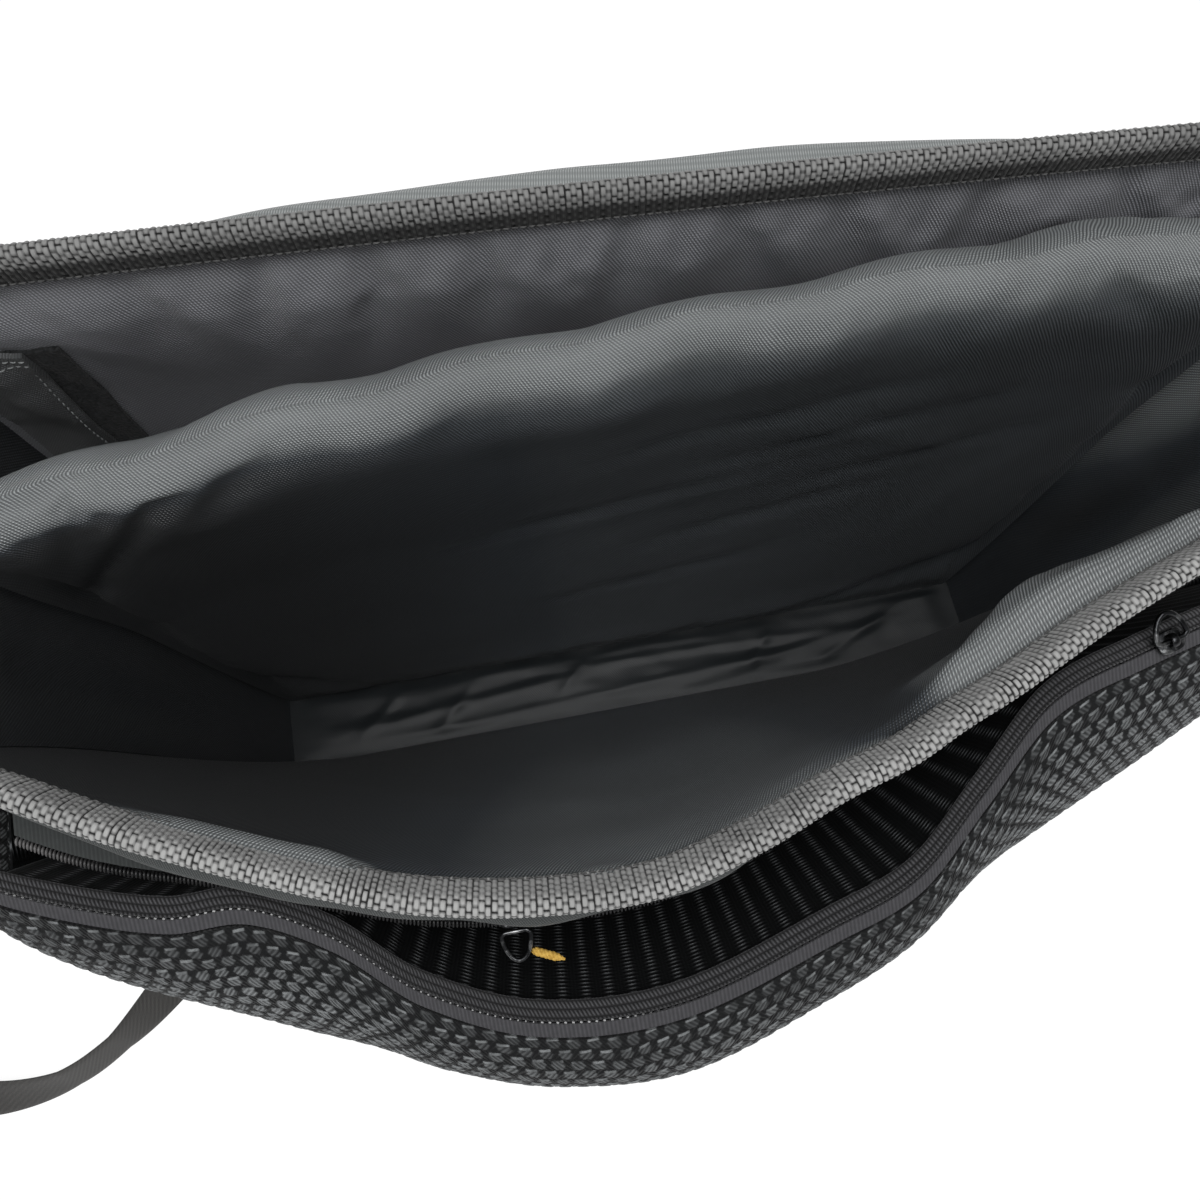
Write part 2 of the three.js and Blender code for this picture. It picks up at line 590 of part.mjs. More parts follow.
// Joining of solids for the small hardware
const wasm = await Module();
wasm.setup();
function toSolid(geometry) {
  const bare = new THREE.BufferGeometry();
  bare.setAttribute('position', geometry.getAttribute('position').clone());
  if (geometry.index) bare.setIndex(geometry.index.clone());
  const welded = mergeVertices(bare, 1e-4);
  return new wasm.Manifold(new wasm.Mesh({
    numProp: 3,
    vertProperties: new Float32Array(welded.getAttribute('position').array),
    triVerts: new Uint32Array(welded.index.array),
  }));
}
function joined(...geometries) {
  const mesh = wasm.Manifold.union(geometries.map(toSolid)).getMesh();
  return solid(Array.from(mesh.vertProperties), Array.from(mesh.triVerts));
}

// Slider built about its hinge: X along the zip, Z off the tapes
const sliderPlate = roundedPlate(SLIDER_LENGTH, SLIDER_WIDTH, SLIDER_CORNER, SLIDER_THICK);
sliderPlate.translate(0, 0, -ARCH_RISE - SLIDER_THICK);
const archShape = new THREE.Shape();
archShape.moveTo(-ARCH_OUTER, -ARCH_RISE - SLIDER_THICK / 2);
archShape.lineTo(ARCH_OUTER, -ARCH_RISE - SLIDER_THICK / 2);
archShape.absarc(0, 0, ARCH_OUTER, 0, Math.PI);
archShape.holes.push(new THREE.Path().absarc(0, 0, ARCH_HOLE, 0, 2 * Math.PI));
const arch = new THREE.ExtrudeGeometry(archShape, {
  depth: ARCH_LENGTH, bevelEnabled: false, curveSegments: ARCH_SPANS,
});
arch.translate(0, 0, -ARCH_LENGTH / 2);
arch.rotateX(Math.PI / 2);
arch.rotateZ(Math.PI / 2);
const sliderBody = joined(sliderPlate, arch);

// Wire pull with its straight side on the hinge line and its bow standing off it
function wireLoop(width, height, wire) {
  const half = width / 2;
  const bow = spread(BOW_SPANS, 0, Math.PI).map((a) => vec(half * Math.cos(a), 0, height * Math.sin(a)));
  const bar = spread(BAR_SPANS, -half, half).map((x) => vec(x, 0, 0));
  const ball = (x) => new THREE.IcosahedronGeometry(wire * END_BALL, 0).translate(x, 0, 0);
  const balls = [-half, half].map(ball);
  return joined(rod(bow, wire, BOW_SPANS), rod(bar, wire, BAR_SPANS), ...balls);
}
const pullLoop = wireLoop(PULL_WIDTH, PULL_HEIGHT, WIRE);

// Place hardware on a zip: X along it, Z off it
function place(geometry, origin, along, off) {
  const x = along.clone().normalize();
  const y = off.clone().cross(x).normalize();
  const z = x.clone().cross(y);
  return geometry.clone().applyMatrix4(new THREE.Matrix4().makeBasis(x, y, z).setPosition(origin));
}
const zipStep = 0.02;
const zipAlong = zipPoint(SLIDER_AT + zipStep, 0).sub(zipPoint(SLIDER_AT - zipStep, 0));
const tapeTilt = (FRONT_TAPE_FALL - REAR_TAPE_FALL) / 2 * RAD;
const zipOff = vec(0, -Math.sin(tapeTilt), Math.cos(tapeTilt));
const SLIDER_STAND = TAPE_HALF + 2 * GAP + SLIDER_THICK + ARCH_RISE;
const hinge = zipPoint(SLIDER_AT, 0).addScaledVector(zipOff, SLIDER_STAND);
const pocketSlider = place(sliderBody, hinge, zipAlong, zipOff);
const pullLeaned = pullLoop.clone().rotateX(-PULL_LEAN * RAD);
const pocketPull = place(pullLeaned, hinge, zipAlong, vec(0, 0, 1));

// Slider, ring and yellow end of the second zip
const rimEdge = rimZipPoint(RIM_SLIDER_AT, 1);
const rimSlider = roundedPlate(RIM_SLIDER.length, RIM_SLIDER.width, RIM_SLIDER.corner, RIM_SLIDER.thick);
const rimSliderAt = rimEdge.clone().add(vec(0, 0, -RIM_COIL_RADIUS - GAP - RIM_SLIDER.thick));
rimSlider.translate(rimSliderAt.x, rimSliderAt.y, rimSliderAt.z);
const ringAhead = RIM_SLIDER.width / 2 + RING.wire + 2 * GAP;
const ringAt = rimSliderAt.clone().add(vec(0, -ringAhead, RIM_SLIDER.thick / 2));
const rimRing = wireLoop(RING.width, RING.height, RING.wire).rotateX(RING.lean * RAD);
rimRing.translate(ringAt.x, ringAt.y, ringAt.z);
const rimTip = roundedPlate(TIP.length, TIP.width, TIP.corner, TIP.thick).rotateZ(TIP.turn * RAD);
rimTip.translate(ringAt.x + TIP.right, ringAt.y - TIP.ahead, ringAt.z - TIP.drop);

const basePlate = roundedPlate(2 * (HALF_BOTTOM + BASE_LIP), BASE_FRONT + BASE_BACK, BASE_CORNER, BASE_THICK);

// Colours seen in the photo
const SHELL = { color: 0x2b2e31, roughness: 0.72, metalness: 0 };
const LINING = { color: 0x33363b, roughness: 0.6, metalness: 0 };
const WEBBING = { color: 0x5d5c5a, roughness: 0.85, metalness: 0 };
const MESH = { color: 0x2c2e30, roughness: 0.9, metalness: 0 };
const KNIT = { color: 0x15171a, roughness: 0.95, metalness: 0 };
const TAPE = { color: 0x3a393c, roughness: 0.85, metalness: 0 };
const COIL = { color: 0x1b1b1d, roughness: 0.35, metalness: 0 };
const METAL = { color: 0x3c3f42, roughness: 0.3, metalness: 0.9 };
const VELVET = { color: 0x0d0d0f, roughness: 1, metalness: 0 };
const YELLOW = { color: 0xc89a3c, roughness: 0.7, metalness: 0 };

const pieces = [
  ['bottom_panel', basePlate, SHELL],
  ['front_panel', frontPanel, LINING],
  ['back_panel', backPanel, LINING],
  ['divider', divider, LINING],
  ['left_gusset', gusset(-1), LINING],
  ['right_gusset', gusset(1), LINING],
  ['front_binding', binding(frontWall, RIM_SPANS), WEBBING],
  ['back_binding', binding(backWall, BACK_SPANS), WEBBING],
  ['pocket_mesh', pocketMesh, MESH],
  ['pocket_backing', pocketBacking, KNIT],
  ['pocket_zip_front_tape', frontTape, TAPE],
  ['pocket_zip_rear_tape', rearTape, TAPE],
  ['pocket_zip_coil', pocketCoil, COIL],
  ['pocket_zip_slider', pocketSlider, METAL],
  ['pocket_zip_pull', pocketPull, METAL],
  ['rim_zip_tape', rimTape, TAPE],
  ['rim_zip_coil', rimCoil, COIL],
  ['rim_zip_slider', rimSlider, METAL],
  ['rim_zip_ring', rimRing, METAL],
  ['rim_zip_tip', rimTip, YELLOW],
  ['loop_strip', loopStrip, VELVET],
  ['hold_tab', holdTab, SHELL],
  ['shoulder_strap', strap, WEBBING],
];

const bag = new THREE.Group();
bag.name = 'laptop_bag';
for (const [name, geometry, look] of pieces) {
  const mesh = new THREE.Mesh(geometry, new THREE.MeshStandardMaterial(look));
  mesh.name = name;
  bag.add(mesh);
}

export default bag;
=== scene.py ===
import math

import bpy
import numpy as np
from mathutils import Matrix, Vector


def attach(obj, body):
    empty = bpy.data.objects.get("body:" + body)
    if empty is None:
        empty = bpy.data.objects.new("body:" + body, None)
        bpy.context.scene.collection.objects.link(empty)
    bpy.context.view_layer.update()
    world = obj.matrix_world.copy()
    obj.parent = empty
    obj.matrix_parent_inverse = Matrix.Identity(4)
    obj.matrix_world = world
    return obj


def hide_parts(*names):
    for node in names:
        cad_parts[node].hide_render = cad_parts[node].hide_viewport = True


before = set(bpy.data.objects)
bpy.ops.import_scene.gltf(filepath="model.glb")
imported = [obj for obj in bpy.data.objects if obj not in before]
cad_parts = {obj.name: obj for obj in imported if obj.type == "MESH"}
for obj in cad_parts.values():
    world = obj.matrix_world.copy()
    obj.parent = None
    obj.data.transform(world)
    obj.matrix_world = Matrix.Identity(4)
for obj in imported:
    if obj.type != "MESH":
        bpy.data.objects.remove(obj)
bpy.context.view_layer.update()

MM = 0.001

# Sizes in millimetres and shares of a length, most of them as in the solids
GAP = 0.3
FLOOR = 3.3
HALF_BOTTOM, HALF_TOP, FLARE_POWER = 180, 222, 0.8
FRONT_FOOT, FRONT_LENGTH, FRONT_HALF = 42, 265, 1
RIM_ABOVE, RIM_FLARE, FLARE_PULL, LOW_LEAN = 3, 14, 0.6, 0.96
PUFF, ROLL, LIP = (0.7, 0.895, 0.925), (0.72, 0.895, 0.925), (0.89, 0.935, 0.957)
BACK_FOOT, BACK_PAD, EDGE_HALF = 41, 4.5, 1.2
BACK_RIM = dict(y=39.2, y_tilt=-8.0, y_bow=-4.7, z=288.2, z_tilt=-4.9, z_bow=3.4)
CURVE_SPAN = 200
DIVIDER_FOOT_HALF, DIVIDER_HALF, DIVIDER_END = 6, 10, 5.7
DIVIDER_TOP = dict(y=6.8, y_tilt=8.2, y_bow=-10.6, z=273.2, z_tilt=6.0, z_bow=-2.9)
DIVIDER_WAVE, DIVIDER_WAVES = 1.3, 6.5
GUSSET_INSET, GUSSET_HALF, GUSSET_TOP, GUSSET_BULGE = 2.6, 1.1, 0.9, 9
GUSSET_AT, GUSSET_WIDTH, GUSSET_LENGTH = 0.9875, 118, 252
POCKET_HALF, POCKET_ROUND = 235, 6
MESH_HALF, MESH_EDGE_HALF, KNIT_HALF, TAPE_HALF = 1.5, 0.6, 0.4, 0.4
MESH_STAND = 2 * KNIT_HALF + GAP + MESH_HALF
FRONT_TAPE, REAR_TAPE, FRONT_FALL, REAR_FALL = 4.5, 6.5, 30, 12
SLIT_HALF, ZIP_END = 0.35, 0.92
RIM_ZIP_AT, RIM_ZIP_END, RIM_ZIP_FALL, RIM_COIL_RADIUS = 0.84, 0.93, 10, 1.2
SLIDER_AT, RIM_SLIDER_AT = 0.615, -0.31
CELL, CELL_ROW = 6.0, 3.9
MESH_LENGTH, MESH_SPARE, KNIT_LENGTH, KNIT_SPARE = 260, 40, 235, 30
COIL_PITCH, COIL_RADIUS, COIL_BELOW, RIM_COIL_PITCH = 2.4, 1.0, 1.15, 1.15
CORNER_DROP, CORNER_SPAN = 22, (0.955, 0.998)
BACK_HEIGHT, BACK_SEAM, DIVIDER_HEIGHT = 290, 277, 270
# Noise: cells on a side before it repeats, and how far its origin is moved
LATTICE, NOISE_X, NOISE_Y = 64, 900.5, 700.5
# Settling: steps, spare cloth, longest move, share of the divider's first thickness and of its upward moves
SETTLE_STEPS, SPARE_CLOTH, MOST_MOVE, START_SHARE, KEPT_HEIGHT = 20, 0.035, 5, 0.68, 0.2

# Front rim: place, lean of the wall, slack of the lining, roll of the shell
FRONT_RIM = np.array([
    (-222, 10.4, 0.5, 6), (-196, 13.4, 0.5, 10), (-170, 16.6, 1, 12), (-137, 20.1, 1.5, 13),
    (-114, 22.3, 1.5, 14), (-91, 24.1, 1, 15), (-59, 25.5, 1, 14), (-26, 25.8, 1, 13), (4, 24.2, 1.5, 12),
    (29, 22.2, 2.5, 10), (50, 20.9, 3, 8), (66, 19.4, 4.5, 6), (84, 17.9, 8.5, 4), (112, 15.2, 12, 2),
    (145, 12.6, 10, 1.5), (185, 9.8, 6.5, 1.5), (222, 8.2, 0.5, 1.5)], float)
# Back wall: place, slack of the outer cloth
BACK_SLACK = np.array(
    [(-222, 2), (-125, 16.5), (-65, 20), (0, 22.5), (60, 22.5), (125, 17), (175, 9), (222, 2)], float)
# Pocket zip: place, y and z of the slit, reach of the mesh
POCKET_TOP = np.array([
    (-235, -121, 229, -140), (-206, -129, 227, -150), (-168, -139, 223, -163.5), (-145, -140, 222, -172.5),
    (-122, -152, 216, -182), (-100, -171, 205, -193), (-67, -186, 195, -203.5), (-23, -189, 193, -207),
    (29, -176, 202, -193.5), (56, -167, 208, -183), (80, -147, 218, -168), (105, -126, 228, -157),
    (135, -117, 231, -146), (180, -108, 233, -130), (235, -98, 235, -111)], float)
# Zip under the rim: place, width of its tape
RIM_ZIP = np.array([(-222, 13), (-190, 12), (-150, 6), (-60, 5), (60, 5), (130, 7), (222, 6)], float)
# Binding in section: off the wall, along it from the rim edge
FOLD = np.array([
    (1.95, -11), (2.2, -6), (2.4, -1.5), (1.9, 1.2), (0, 2.1),
    (-1.9, 1.2), (-2.4, -1.5), (-2.2, -6), (-1.95, -11)])
# Strap: middle x, y, z and tilt of its width
STRAP_WIDTH, STRAP_HALF, STRAP_RIB = 20, 0.8, 2.2
STRAP = np.array([
    (-223.4, -30, 214, 0), (-225.5, -30, 170, 0), (-232, -31, 110, 0), (-252, -34, 50, 0), (-288, -42, 12, 2),
    (-330, -60, 2.2, 4), (-364, -94, 1.8, 4), (-372, -134, 2.2, 6), (-350, -160, 5.2, 25),
    (-321, -168, 8.0, 45), (-288, -166, 10.4, 72), (-265, -155, 10.6, 76), (-243, -136, 8.6, 50),
    (-218, -108, 4.6, 20), (-180, -92, 1.8, 4), (-100, -80, 1.4, 2), (0, -78, 1.4, 2), (100, -78, 1.4, 2),
    (165, -72, 1.4, 2), (205, -54, 1.8, 4), (236, -36, 4, 4), (250, -28, 18, 0), (248, -28, 60, 0),
    (236, -29, 120, 0), (225.5, -30, 175, 0), (223.4, -30, 214, 0)], float)

# Camera fitted to the photo: place, angles in degrees, focal length in pixels of its frame
PHOTO_SIZE, SENSOR = 1200, 36
CAMERA = dict(place=(-49.807, -192.776, 559.326), yaw=-11.047, pitch=68.766, roll=0.226, focal=1117.384)


def set_camera():
    yaw, pitch, roll = (math.radians(CAMERA[k]) for k in ("yaw", "pitch", "roll"))
    forward = Vector((-math.sin(yaw) * math.cos(pitch), math.cos(yaw) * math.cos(pitch), -math.sin(pitch)))
    right = Vector((math.cos(yaw), math.sin(yaw), 0))
    up = right.cross(forward)
    across = right * math.cos(roll) + up * math.sin(roll)
    upward = up * math.cos(roll) - right * math.sin(roll)
    data = bpy.data.cameras.new("camera")
    data.sensor_width = SENSOR
    data.lens = SENSOR * CAMERA["focal"] / PHOTO_SIZE
    data.clip_start = 0.01
    camera = bpy.data.objects.new("camera", data)
    turn = Matrix((across, upward, -forward)).transposed().to_4x4()
    camera.matrix_world = Matrix.Translation(Vector(CAMERA["place"]) * MM) @ turn
    bpy.context.scene.collection.objects.link(camera)
    bpy.context.scene.camera = camera


set_camera()


def smooth(x, low, high):
    t = np.clip((x - low) / (high - low), 0, 1)
    return t * t * (3 - 2 * t)


def mix(a, b, t):
    return a + (b - a) * t


def between(x, low, full, fade, end):
    """One between two places, with soft ends."""
    return smooth(x, low, full) * (1 - smooth(x, fade, end))


def hermite(t, a, slope_a, b, slope_b):
    s = 1 - t
    return a * s * s * (1 + 2 * t) + b * t * t * (3 - 2 * t) + slope_a * t * s * s - slope_b * t * t * s


def column(rows, key, at):
    """A smooth curve through one column of a table, read at places of its first column."""
    x, y = rows[:, 0], rows[:, key]
    before, after = np.maximum(np.arange(len(x)) - 1, 0), np.minimum(np.arange(len(x)) + 1, len(x) - 1)
    slope = (y[after] - y[before]) / (x[after] - x[before])
    place = np.clip(at, x[0], x[-1])
    i = np.clip(np.searchsorted(x, place, side="left") - 1, 0, len(x) - 2)
    width = x[i + 1] - x[i]
    return hermite((place - x[i]) / width, y[i], slope[i] * width, y[i + 1], slope[i + 1] * width)


def bezier(t, a, b, c, d):
    return a * (1 - t) ** 3 + 3 * b * t * (1 - t) ** 2 + 3 * c * t * t * (1 - t) + d * t ** 3


def grid_of(us, vs):
    return np.meshgrid(us, vs, indexing="ij")


def stack(x, y, z):
    return np.stack(np.broadcast_arrays(np.asarray(x, float), y, z), axis=-1)


def unit(v):
    return v / np.maximum(np.linalg.norm(v, axis=-1, keepdims=True), 1e-12)


def cell_corners(x, y, seed):
    """Random heights from -1 to 1 at the four corners of each place's cell, and the place in that cell."""
    lattice = np.random.default_rng(seed).uniform(-1, 1, (LATTICE, LATTICE))
    ix, iy = np.floor(x).astype(int), np.floor(y).astype(int)
    corners = [lattice[(ix + i) % LATTICE, (iy + j) % LATTICE] for i, j in ((0, 0), (1, 0), (0, 1), (1, 1))]
    return *corners, x - ix, y - iy


def noise(x, y, size, seed):
    """Smooth value noise from -1 to 1 with cells of a given size."""
    fx, fy = np.asarray(x, float) / size + NOISE_X, np.asarray(y, float) / size + NOISE_Y
    a, b, c, d, tx, ty = cell_corners(fx, fy, seed)
    tx = smooth(tx, 0, 1)
    return mix(mix(a, b, tx), mix(c, d, tx), smooth(ty, 0, 1))


def facets(x, y, seed):
    """Crumpled cloth: flat triangles between random heights from -1 to 1."""
    a, b, c, d, tx, ty = cell_corners(x, y, seed)
    low = a + tx * (b - a) + ty * (c - a)
    high = d + (1 - tx) * (c - d) + (1 - ty) * (b - d)
    return np.where(tx + ty < 1, low, high)


def crease(x, y, start, end, width):
    """A ridge along a segment, one at its line and nothing at its ends and far from it."""
    (ax, ay), (bx, by) = start, end
    length = math.hypot(bx - ax, by - ay)
    t = ((x - ax) * (bx - ax) + (y - ay) * (by - ay)) / length ** 2
    off = ((x - ax) * (by - ay) - (y - ay) * (bx - ax)) / length
    return np.exp(-(off / width) ** 2) * np.sin(np.pi * np.clip(t, 0, 1)) ** 0.7


def creases(x, y, rows):
    """The sum of creases given as rows of both ends, height and width."""
    return sum(high * crease(x, y, start, end, width) for start, end, high, width in rows)


# Surfaces of the bag
def half_at(z):
    return HALF_BOTTOM + (HALF_TOP - HALF_BOTTOM) * (np.maximum(z - FLOOR, 0) / FRONT_LENGTH) ** FLARE_POWER


def front_wall(u, v):
    lean = np.radians(column(FRONT_RIM, 1, u * HALF_TOP))
    flare = lean + math.radians(RIM_FLARE)
    low = lean * LOW_LEAN
    top_y = -FRONT_FOOT - FRONT_LENGTH * np.sin(lean) - RIM_ABOVE * np.sin(flare)
    top_z = FLOOR + FRONT_LENGTH * np.cos(lean) + RIM_ABOVE * np.cos(flare)
    pull = FRONT_LENGTH * FLARE_PULL
    y = hermite(v, -FRONT_FOOT, -FRONT_LENGTH * np.sin(low), top_y, -pull * np.sin(flare))
    z = hermite(v, FLOOR, FRONT_LENGTH * np.cos(low), top_z, pull * np.cos(flare))
    return stack(u * half_at(z), y, z)


def curve_at(rim, x, key):
    k = x / CURVE_SPAN
    return rim[key] + rim[key + "_tilt"] * k + rim[key + "_bow"] * k * k


def back_wall(u, v):
    x = u * HALF_TOP
    z = mix(FLOOR, curve_at(BACK_RIM, x, "z") + RIM_ABOVE, v)
    return stack(u * half_at(z), mix(BACK_FOOT, curve_at(BACK_RIM, x, "y"), v), z)


def divider_full(v):
    return mix(DIVIDER_FOOT_HALF, DIVIDER_HALF, smooth(v, 0.5, 0.92))


def divider_mid(u, v):
    x = u * HALF_TOP
    ahead = divider_full(v) - DIVIDER_FOOT_HALF
    wave = DIVIDER_WAVE * np.sin(DIVIDER_WAVES * np.pi * u) * v * v
    z = mix(FLOOR, curve_at(DIVIDER_TOP, x, "z"), v)
    return stack(u * (half_at(z) - DIVIDER_END), (curve_at(DIVIDER_TOP, x, "y") + wave) * v - ahead, z)


def gusset_mid(side, w, v):
    front, back = front_wall(side * GUSSET_AT + 0 * v, v), back_wall(side + 0 * v, v)
    front_y = front[..., 1] + FRONT_HALF + 0.05
    back_y = back[..., 1] - EDGE_HALF - BACK_PAD - 0.05
    seam = (divider_mid(side + 0 * v, v)[..., 1] - front_y) / (back_y - front_y)
    part = np.where(w < seam, w / seam, (w - seam) / (1 - seam))
    bulge = GUSSET_BULGE * np.sin(np.pi * part) ** 2 * smooth(v, 0, 0.4)
    z = mix(front[..., 2], back[..., 2], w)
    return stack(side * (half_at(z) - GUSSET_INSET + bulge), mix(front_y, back_y, w), z)


def wall_out(x, z):
    lean = np.radians(column(FRONT_RIM, 1, x))
    return -FRONT_FOOT - FRONT_HALF - GAP - (z - FLOOR) * np.tan(lean)


def round_end(e, power):
    return np.maximum(1 - np.abs(e) ** power, 0) ** (1 / power)


def pocket_point(e, half, y, z, stand):
    wall = wall_out(e * POCKET_HALF, z) - stand
    return stack(e * half, wall - np.maximum(wall - y, 0) * round_end(e, POCKET_ROUND), z)


def corner_drop(e):
    """How far the upper corners of the pocket slope down."""
    return CORNER_DROP * smooth(np.abs(e), *CORNER_SPAN)


def mesh_mid(e, v):
    x = e * POCKET_HALF
    fall = math.radians(FRONT_FALL)
    edge = SLIT_HALF + FRONT_TAPE + 2 * GAP
    foot_y = wall_out(x, FLOOR) - MESH_STAND
    top_y = column(POCKET_TOP, 1, x) - edge * math.cos(fall)
    top_z = column(POCKET_TOP, 2, x) - edge * math.sin(fall) - corner_drop(e)
    reach = column(POCKET_TOP, 3, x)
    low_y, low_z, high_z = mix(foot_y, reach, 0.45), mix(FLOOR, top_z, 0.36), mix(FLOOR, top_z, 0.82)
    high_y = (reach - bezier(0.8, foot_y, low_y, 0, top_y)) / bezier(0.8, 0, 0, 1, 0)
    half = mix(HALF_BOTTOM + GAP, POCKET_HALF, np.maximum(v, 0) ** FLARE_POWER)
    y, z = bezier(v, foot_y, low_y, high_y, top_y), bezier(v, FLOOR, low_z, high_z, top_z)
    return pocket_point(e, half, y, z, MESH_STAND)


def zip_point(e, forward, below=0.0):
    x = e * POCKET_HALF
    fall = np.radians(np.where(np.asarray(forward) > 0, FRONT_FALL, REAR_FALL))
    y = column(POCKET_TOP, 1, x) - forward * np.cos(fall)
    z = column(POCKET_TOP, 2, x) - np.abs(forward) * np.sin(fall) - below
    return pocket_point(e, POCKET_HALF, y, z, KNIT_HALF)


def backing_mid(e, v):
    x = e * (HALF_TOP - GAP)
    edge = SLIT_HALF + REAR_TAPE - 1.2
    top_y = column(POCKET_TOP, 1, x) + edge
    below = edge * math.sin(math.radians(REAR_FALL)) + TAPE_HALF + KNIT_HALF + 0.2
    top_z = column(POCKET_TOP, 2, x) - below - corner_drop(e)
    half = mix(HALF_BOTTOM - GAP, HALF_TOP - GAP, np.maximum(v, 0) ** FLARE_POWER)
    z = mix(FLOOR, top_z, v)
    wall = wall_out(x, z) - KNIT_HALF
    y = mix(wall_out(x, FLOOR) - KNIT_HALF, top_y, v)
    ends = round_end(x / POCKET_HALF, POCKET_ROUND) * round_end(e, 40)
    return stack(e * half, wall - np.maximum(wall - y, 0) * ends, z)


def frame_of(surface, u, v):
    """Point, normal and upward direction of a wall, and its length for a unit of v."""
    step = 0.002
    along = surface(u + step, v) - surface(u - step, v)
    up = surface(u, v + step) - surface(u, v - step)
    pace = np.linalg.norm(up, axis=-1) / (2 * step)
    return surface(u, v), unit(np.cross(along, up)), unit(up), pace


def swell(v, shape):
    low, top, end = shape
    return between(v, low, top, top, end)


def end_fade(u):
    return 1 - smooth(np.abs(u), 0.93, 0.99)


def pad_shape(v):
    return between(v, 0, 0.05, 0.9, 0.958)


def slack_shape(v):
    return mix(smooth(v, 0.2, 0.7), smooth(v, 0.7, 0.94), 0.75) * (1 - smooth(v, 0.943, 0.96))


def rim_zip_point(u, w):
    point, normal, _, _ = frame_of(front_wall, u, RIM_ZIP_AT + 0 * u)
    roll = column(FRONT_RIM, 3, u * HALF_TOP) * swell(RIM_ZIP_AT, ROLL) * end_fade(u)
    width = column(RIM_ZIP, 1, u * HALF_TOP)
    fall = math.radians(RIM_ZIP_FALL)
    hang = stack(0 * u, -w * width * math.cos(fall), -w * width * math.sin(fall))
    return point + normal * (FRONT_HALF + roll + 2 * GAP)[..., None] + hang


# Meshes
SHARP_DEGREES = 50


def thick(us, vs, surface, near, far, lowest=0.0):
    """Both faces of cloth on a surface, each with its own stand-off."""
    u, v = grid_of(us, vs)
    mid = surface(u, v)
    normal = normals(mid)
    faces = []
    for sign, off in ((1, near), (-1, far)):
        stand = np.broadcast_to(off(u, v) if callable(off) else off, u.shape)
        face = mid + normal * (sign * stand)[..., None]
        face[..., 2] = np.maximum(face[..., 2], lowest)
        faces.append(face)
    return faces


def normals(points):
    """Unit normals of a grid of points."""
    return unit(np.cross(np.gradient(points, axis=0), np.gradient(points, axis=1)))


def turns(count):
    """Angles once round, without the last."""
    return np.linspace(0, 2 * np.pi, count, endpoint=False)


def lengths(points):
    """Distance along both ways of a grid, in millimetres."""
    s = np.cumsum(np.linalg.norm(np.diff(points, axis=0, prepend=points[:1]), axis=-1), axis=0)
    t = np.cumsum(np.linalg.norm(np.diff(points, axis=1, prepend=points[:, :1]), axis=-1), axis=1)
    middle = s[:, s.shape[1] // 2][:, None] - s[s.shape[0] // 2, s.shape[1] // 2]
    return np.broadcast_to(middle, t.shape), t


def make(name, points, faces, cloth, material):
    """An object from points in millimetres, with the cloth's own coordinates kept on its points."""
    data = bpy.data.meshes.new(name)
    data.from_pydata((points * MM).tolist(), [], faces)
    data.polygons.foreach_set("use_smooth", [True] * len(data.polygons))
    data.set_sharp_from_angle(angle=math.radians(SHARP_DEGREES))
    kept = data.attributes.new("cloth", "FLOAT_VECTOR", "POINT")
    kept.data.foreach_set("vector", cloth.astype(np.float32).ravel())
    data.materials.append(material)
    data.update()
    piece = bpy.data.objects.new(name, data)
    bpy.context.scene.collection.objects.link(piece)
    return piece


def facing_out(points, faces):
    """The same faces, turned if they enclose a negative volume."""
    first = np.array([f[:3] for f in faces])
    a, b, c = (points[first[:, k]] for k in range(3))
    return faces if np.einsum("ij,ij->i", a, np.cross(b, c)).sum() > 0 else [f[::-1] for f in faces]


def closed_sheet(name, near, far, material, height=None, cloth=None):
    """Cloth between two faces; its third channel, given as height, holds relief for some pieces and painted
    light and shade for others.
    """
    rows, cols = near.shape[:2]
    points = np.concatenate([near.reshape(-1, 3), far.reshape(-1, 3)])
    if cloth is None:
        s, t = lengths(near)
        cloth = np.stack([s, t, np.zeros((rows, cols)) if height is None else height], axis=-1)
    cloth = np.concatenate([cloth.reshape(-1, 3)] * 2)
    f, g = np.arange(2 * rows * cols).reshape(2, rows, cols)
    corners = (
        (f[:-1, :-1], f[1:, :-1], f[1:, 1:], f[:-1, 1:]), (g[:-1, :-1], g[:-1, 1:], g[1:, 1:], g[1:, :-1]),
        (f[:-1, 0], g[:-1, 0], g[1:, 0], f[1:, 0]), (f[:-1, -1], f[1:, -1], g[1:, -1], g[:-1, -1]),
        (f[0, :-1], f[0, 1:], g[0, 1:], g[0, :-1]), (f[-1, :-1], g[-1, :-1], g[-1, 1:], f[-1, 1:]))
    faces = np.concatenate([np.stack([k.ravel() for k in four], axis=-1) for four in corners]).tolist()
    return make(name, points, facing_out(points, faces), cloth, material)


def skin(rings, joined=False):
    """Points and faces over rings of points, capped at both ends or joined up to one ring."""
    rows, cols = rings.shape[:2]
    points = rings.reshape(-1, 3)
    ids = np.arange(rows * cols).reshape(rows, cols)
    low, high = (ids, np.roll(ids, -1, axis=0)) if joined else (ids[:-1], ids[1:])
    quads = np.stack([low, np.roll(low, -1, axis=1), np.roll(high, -1, axis=1), high], axis=-1)
    faces = quads.reshape(-1, 4).tolist()
    if not joined:
        faces += [ids[0][::-1].tolist(), ids[-1].tolist()]
    return points, facing_out(points - points.mean(0), faces)


def tube(path, radius, sides, flat=1.0):
    """Rings round a path, which may be flattened along its second direction."""
    path = np.asarray(path, float)
    tangent = unit(np.gradient(path, axis=0))
    guide = np.array([0.0, 0.0, 1.0]) if abs(tangent[0][2]) < 0.9 else np.array([0.0, 1.0, 0.0])
    turn = turns(sides)[:, None]
    rings = []
    for point, along in zip(path, tangent):
        side = unit(np.cross(along, guide))
        guide = np.cross(side, along)
        rings.append(point + radius * (np.cos(turn) * side + flat * np.sin(turn) * guide))
    return np.array(rings)


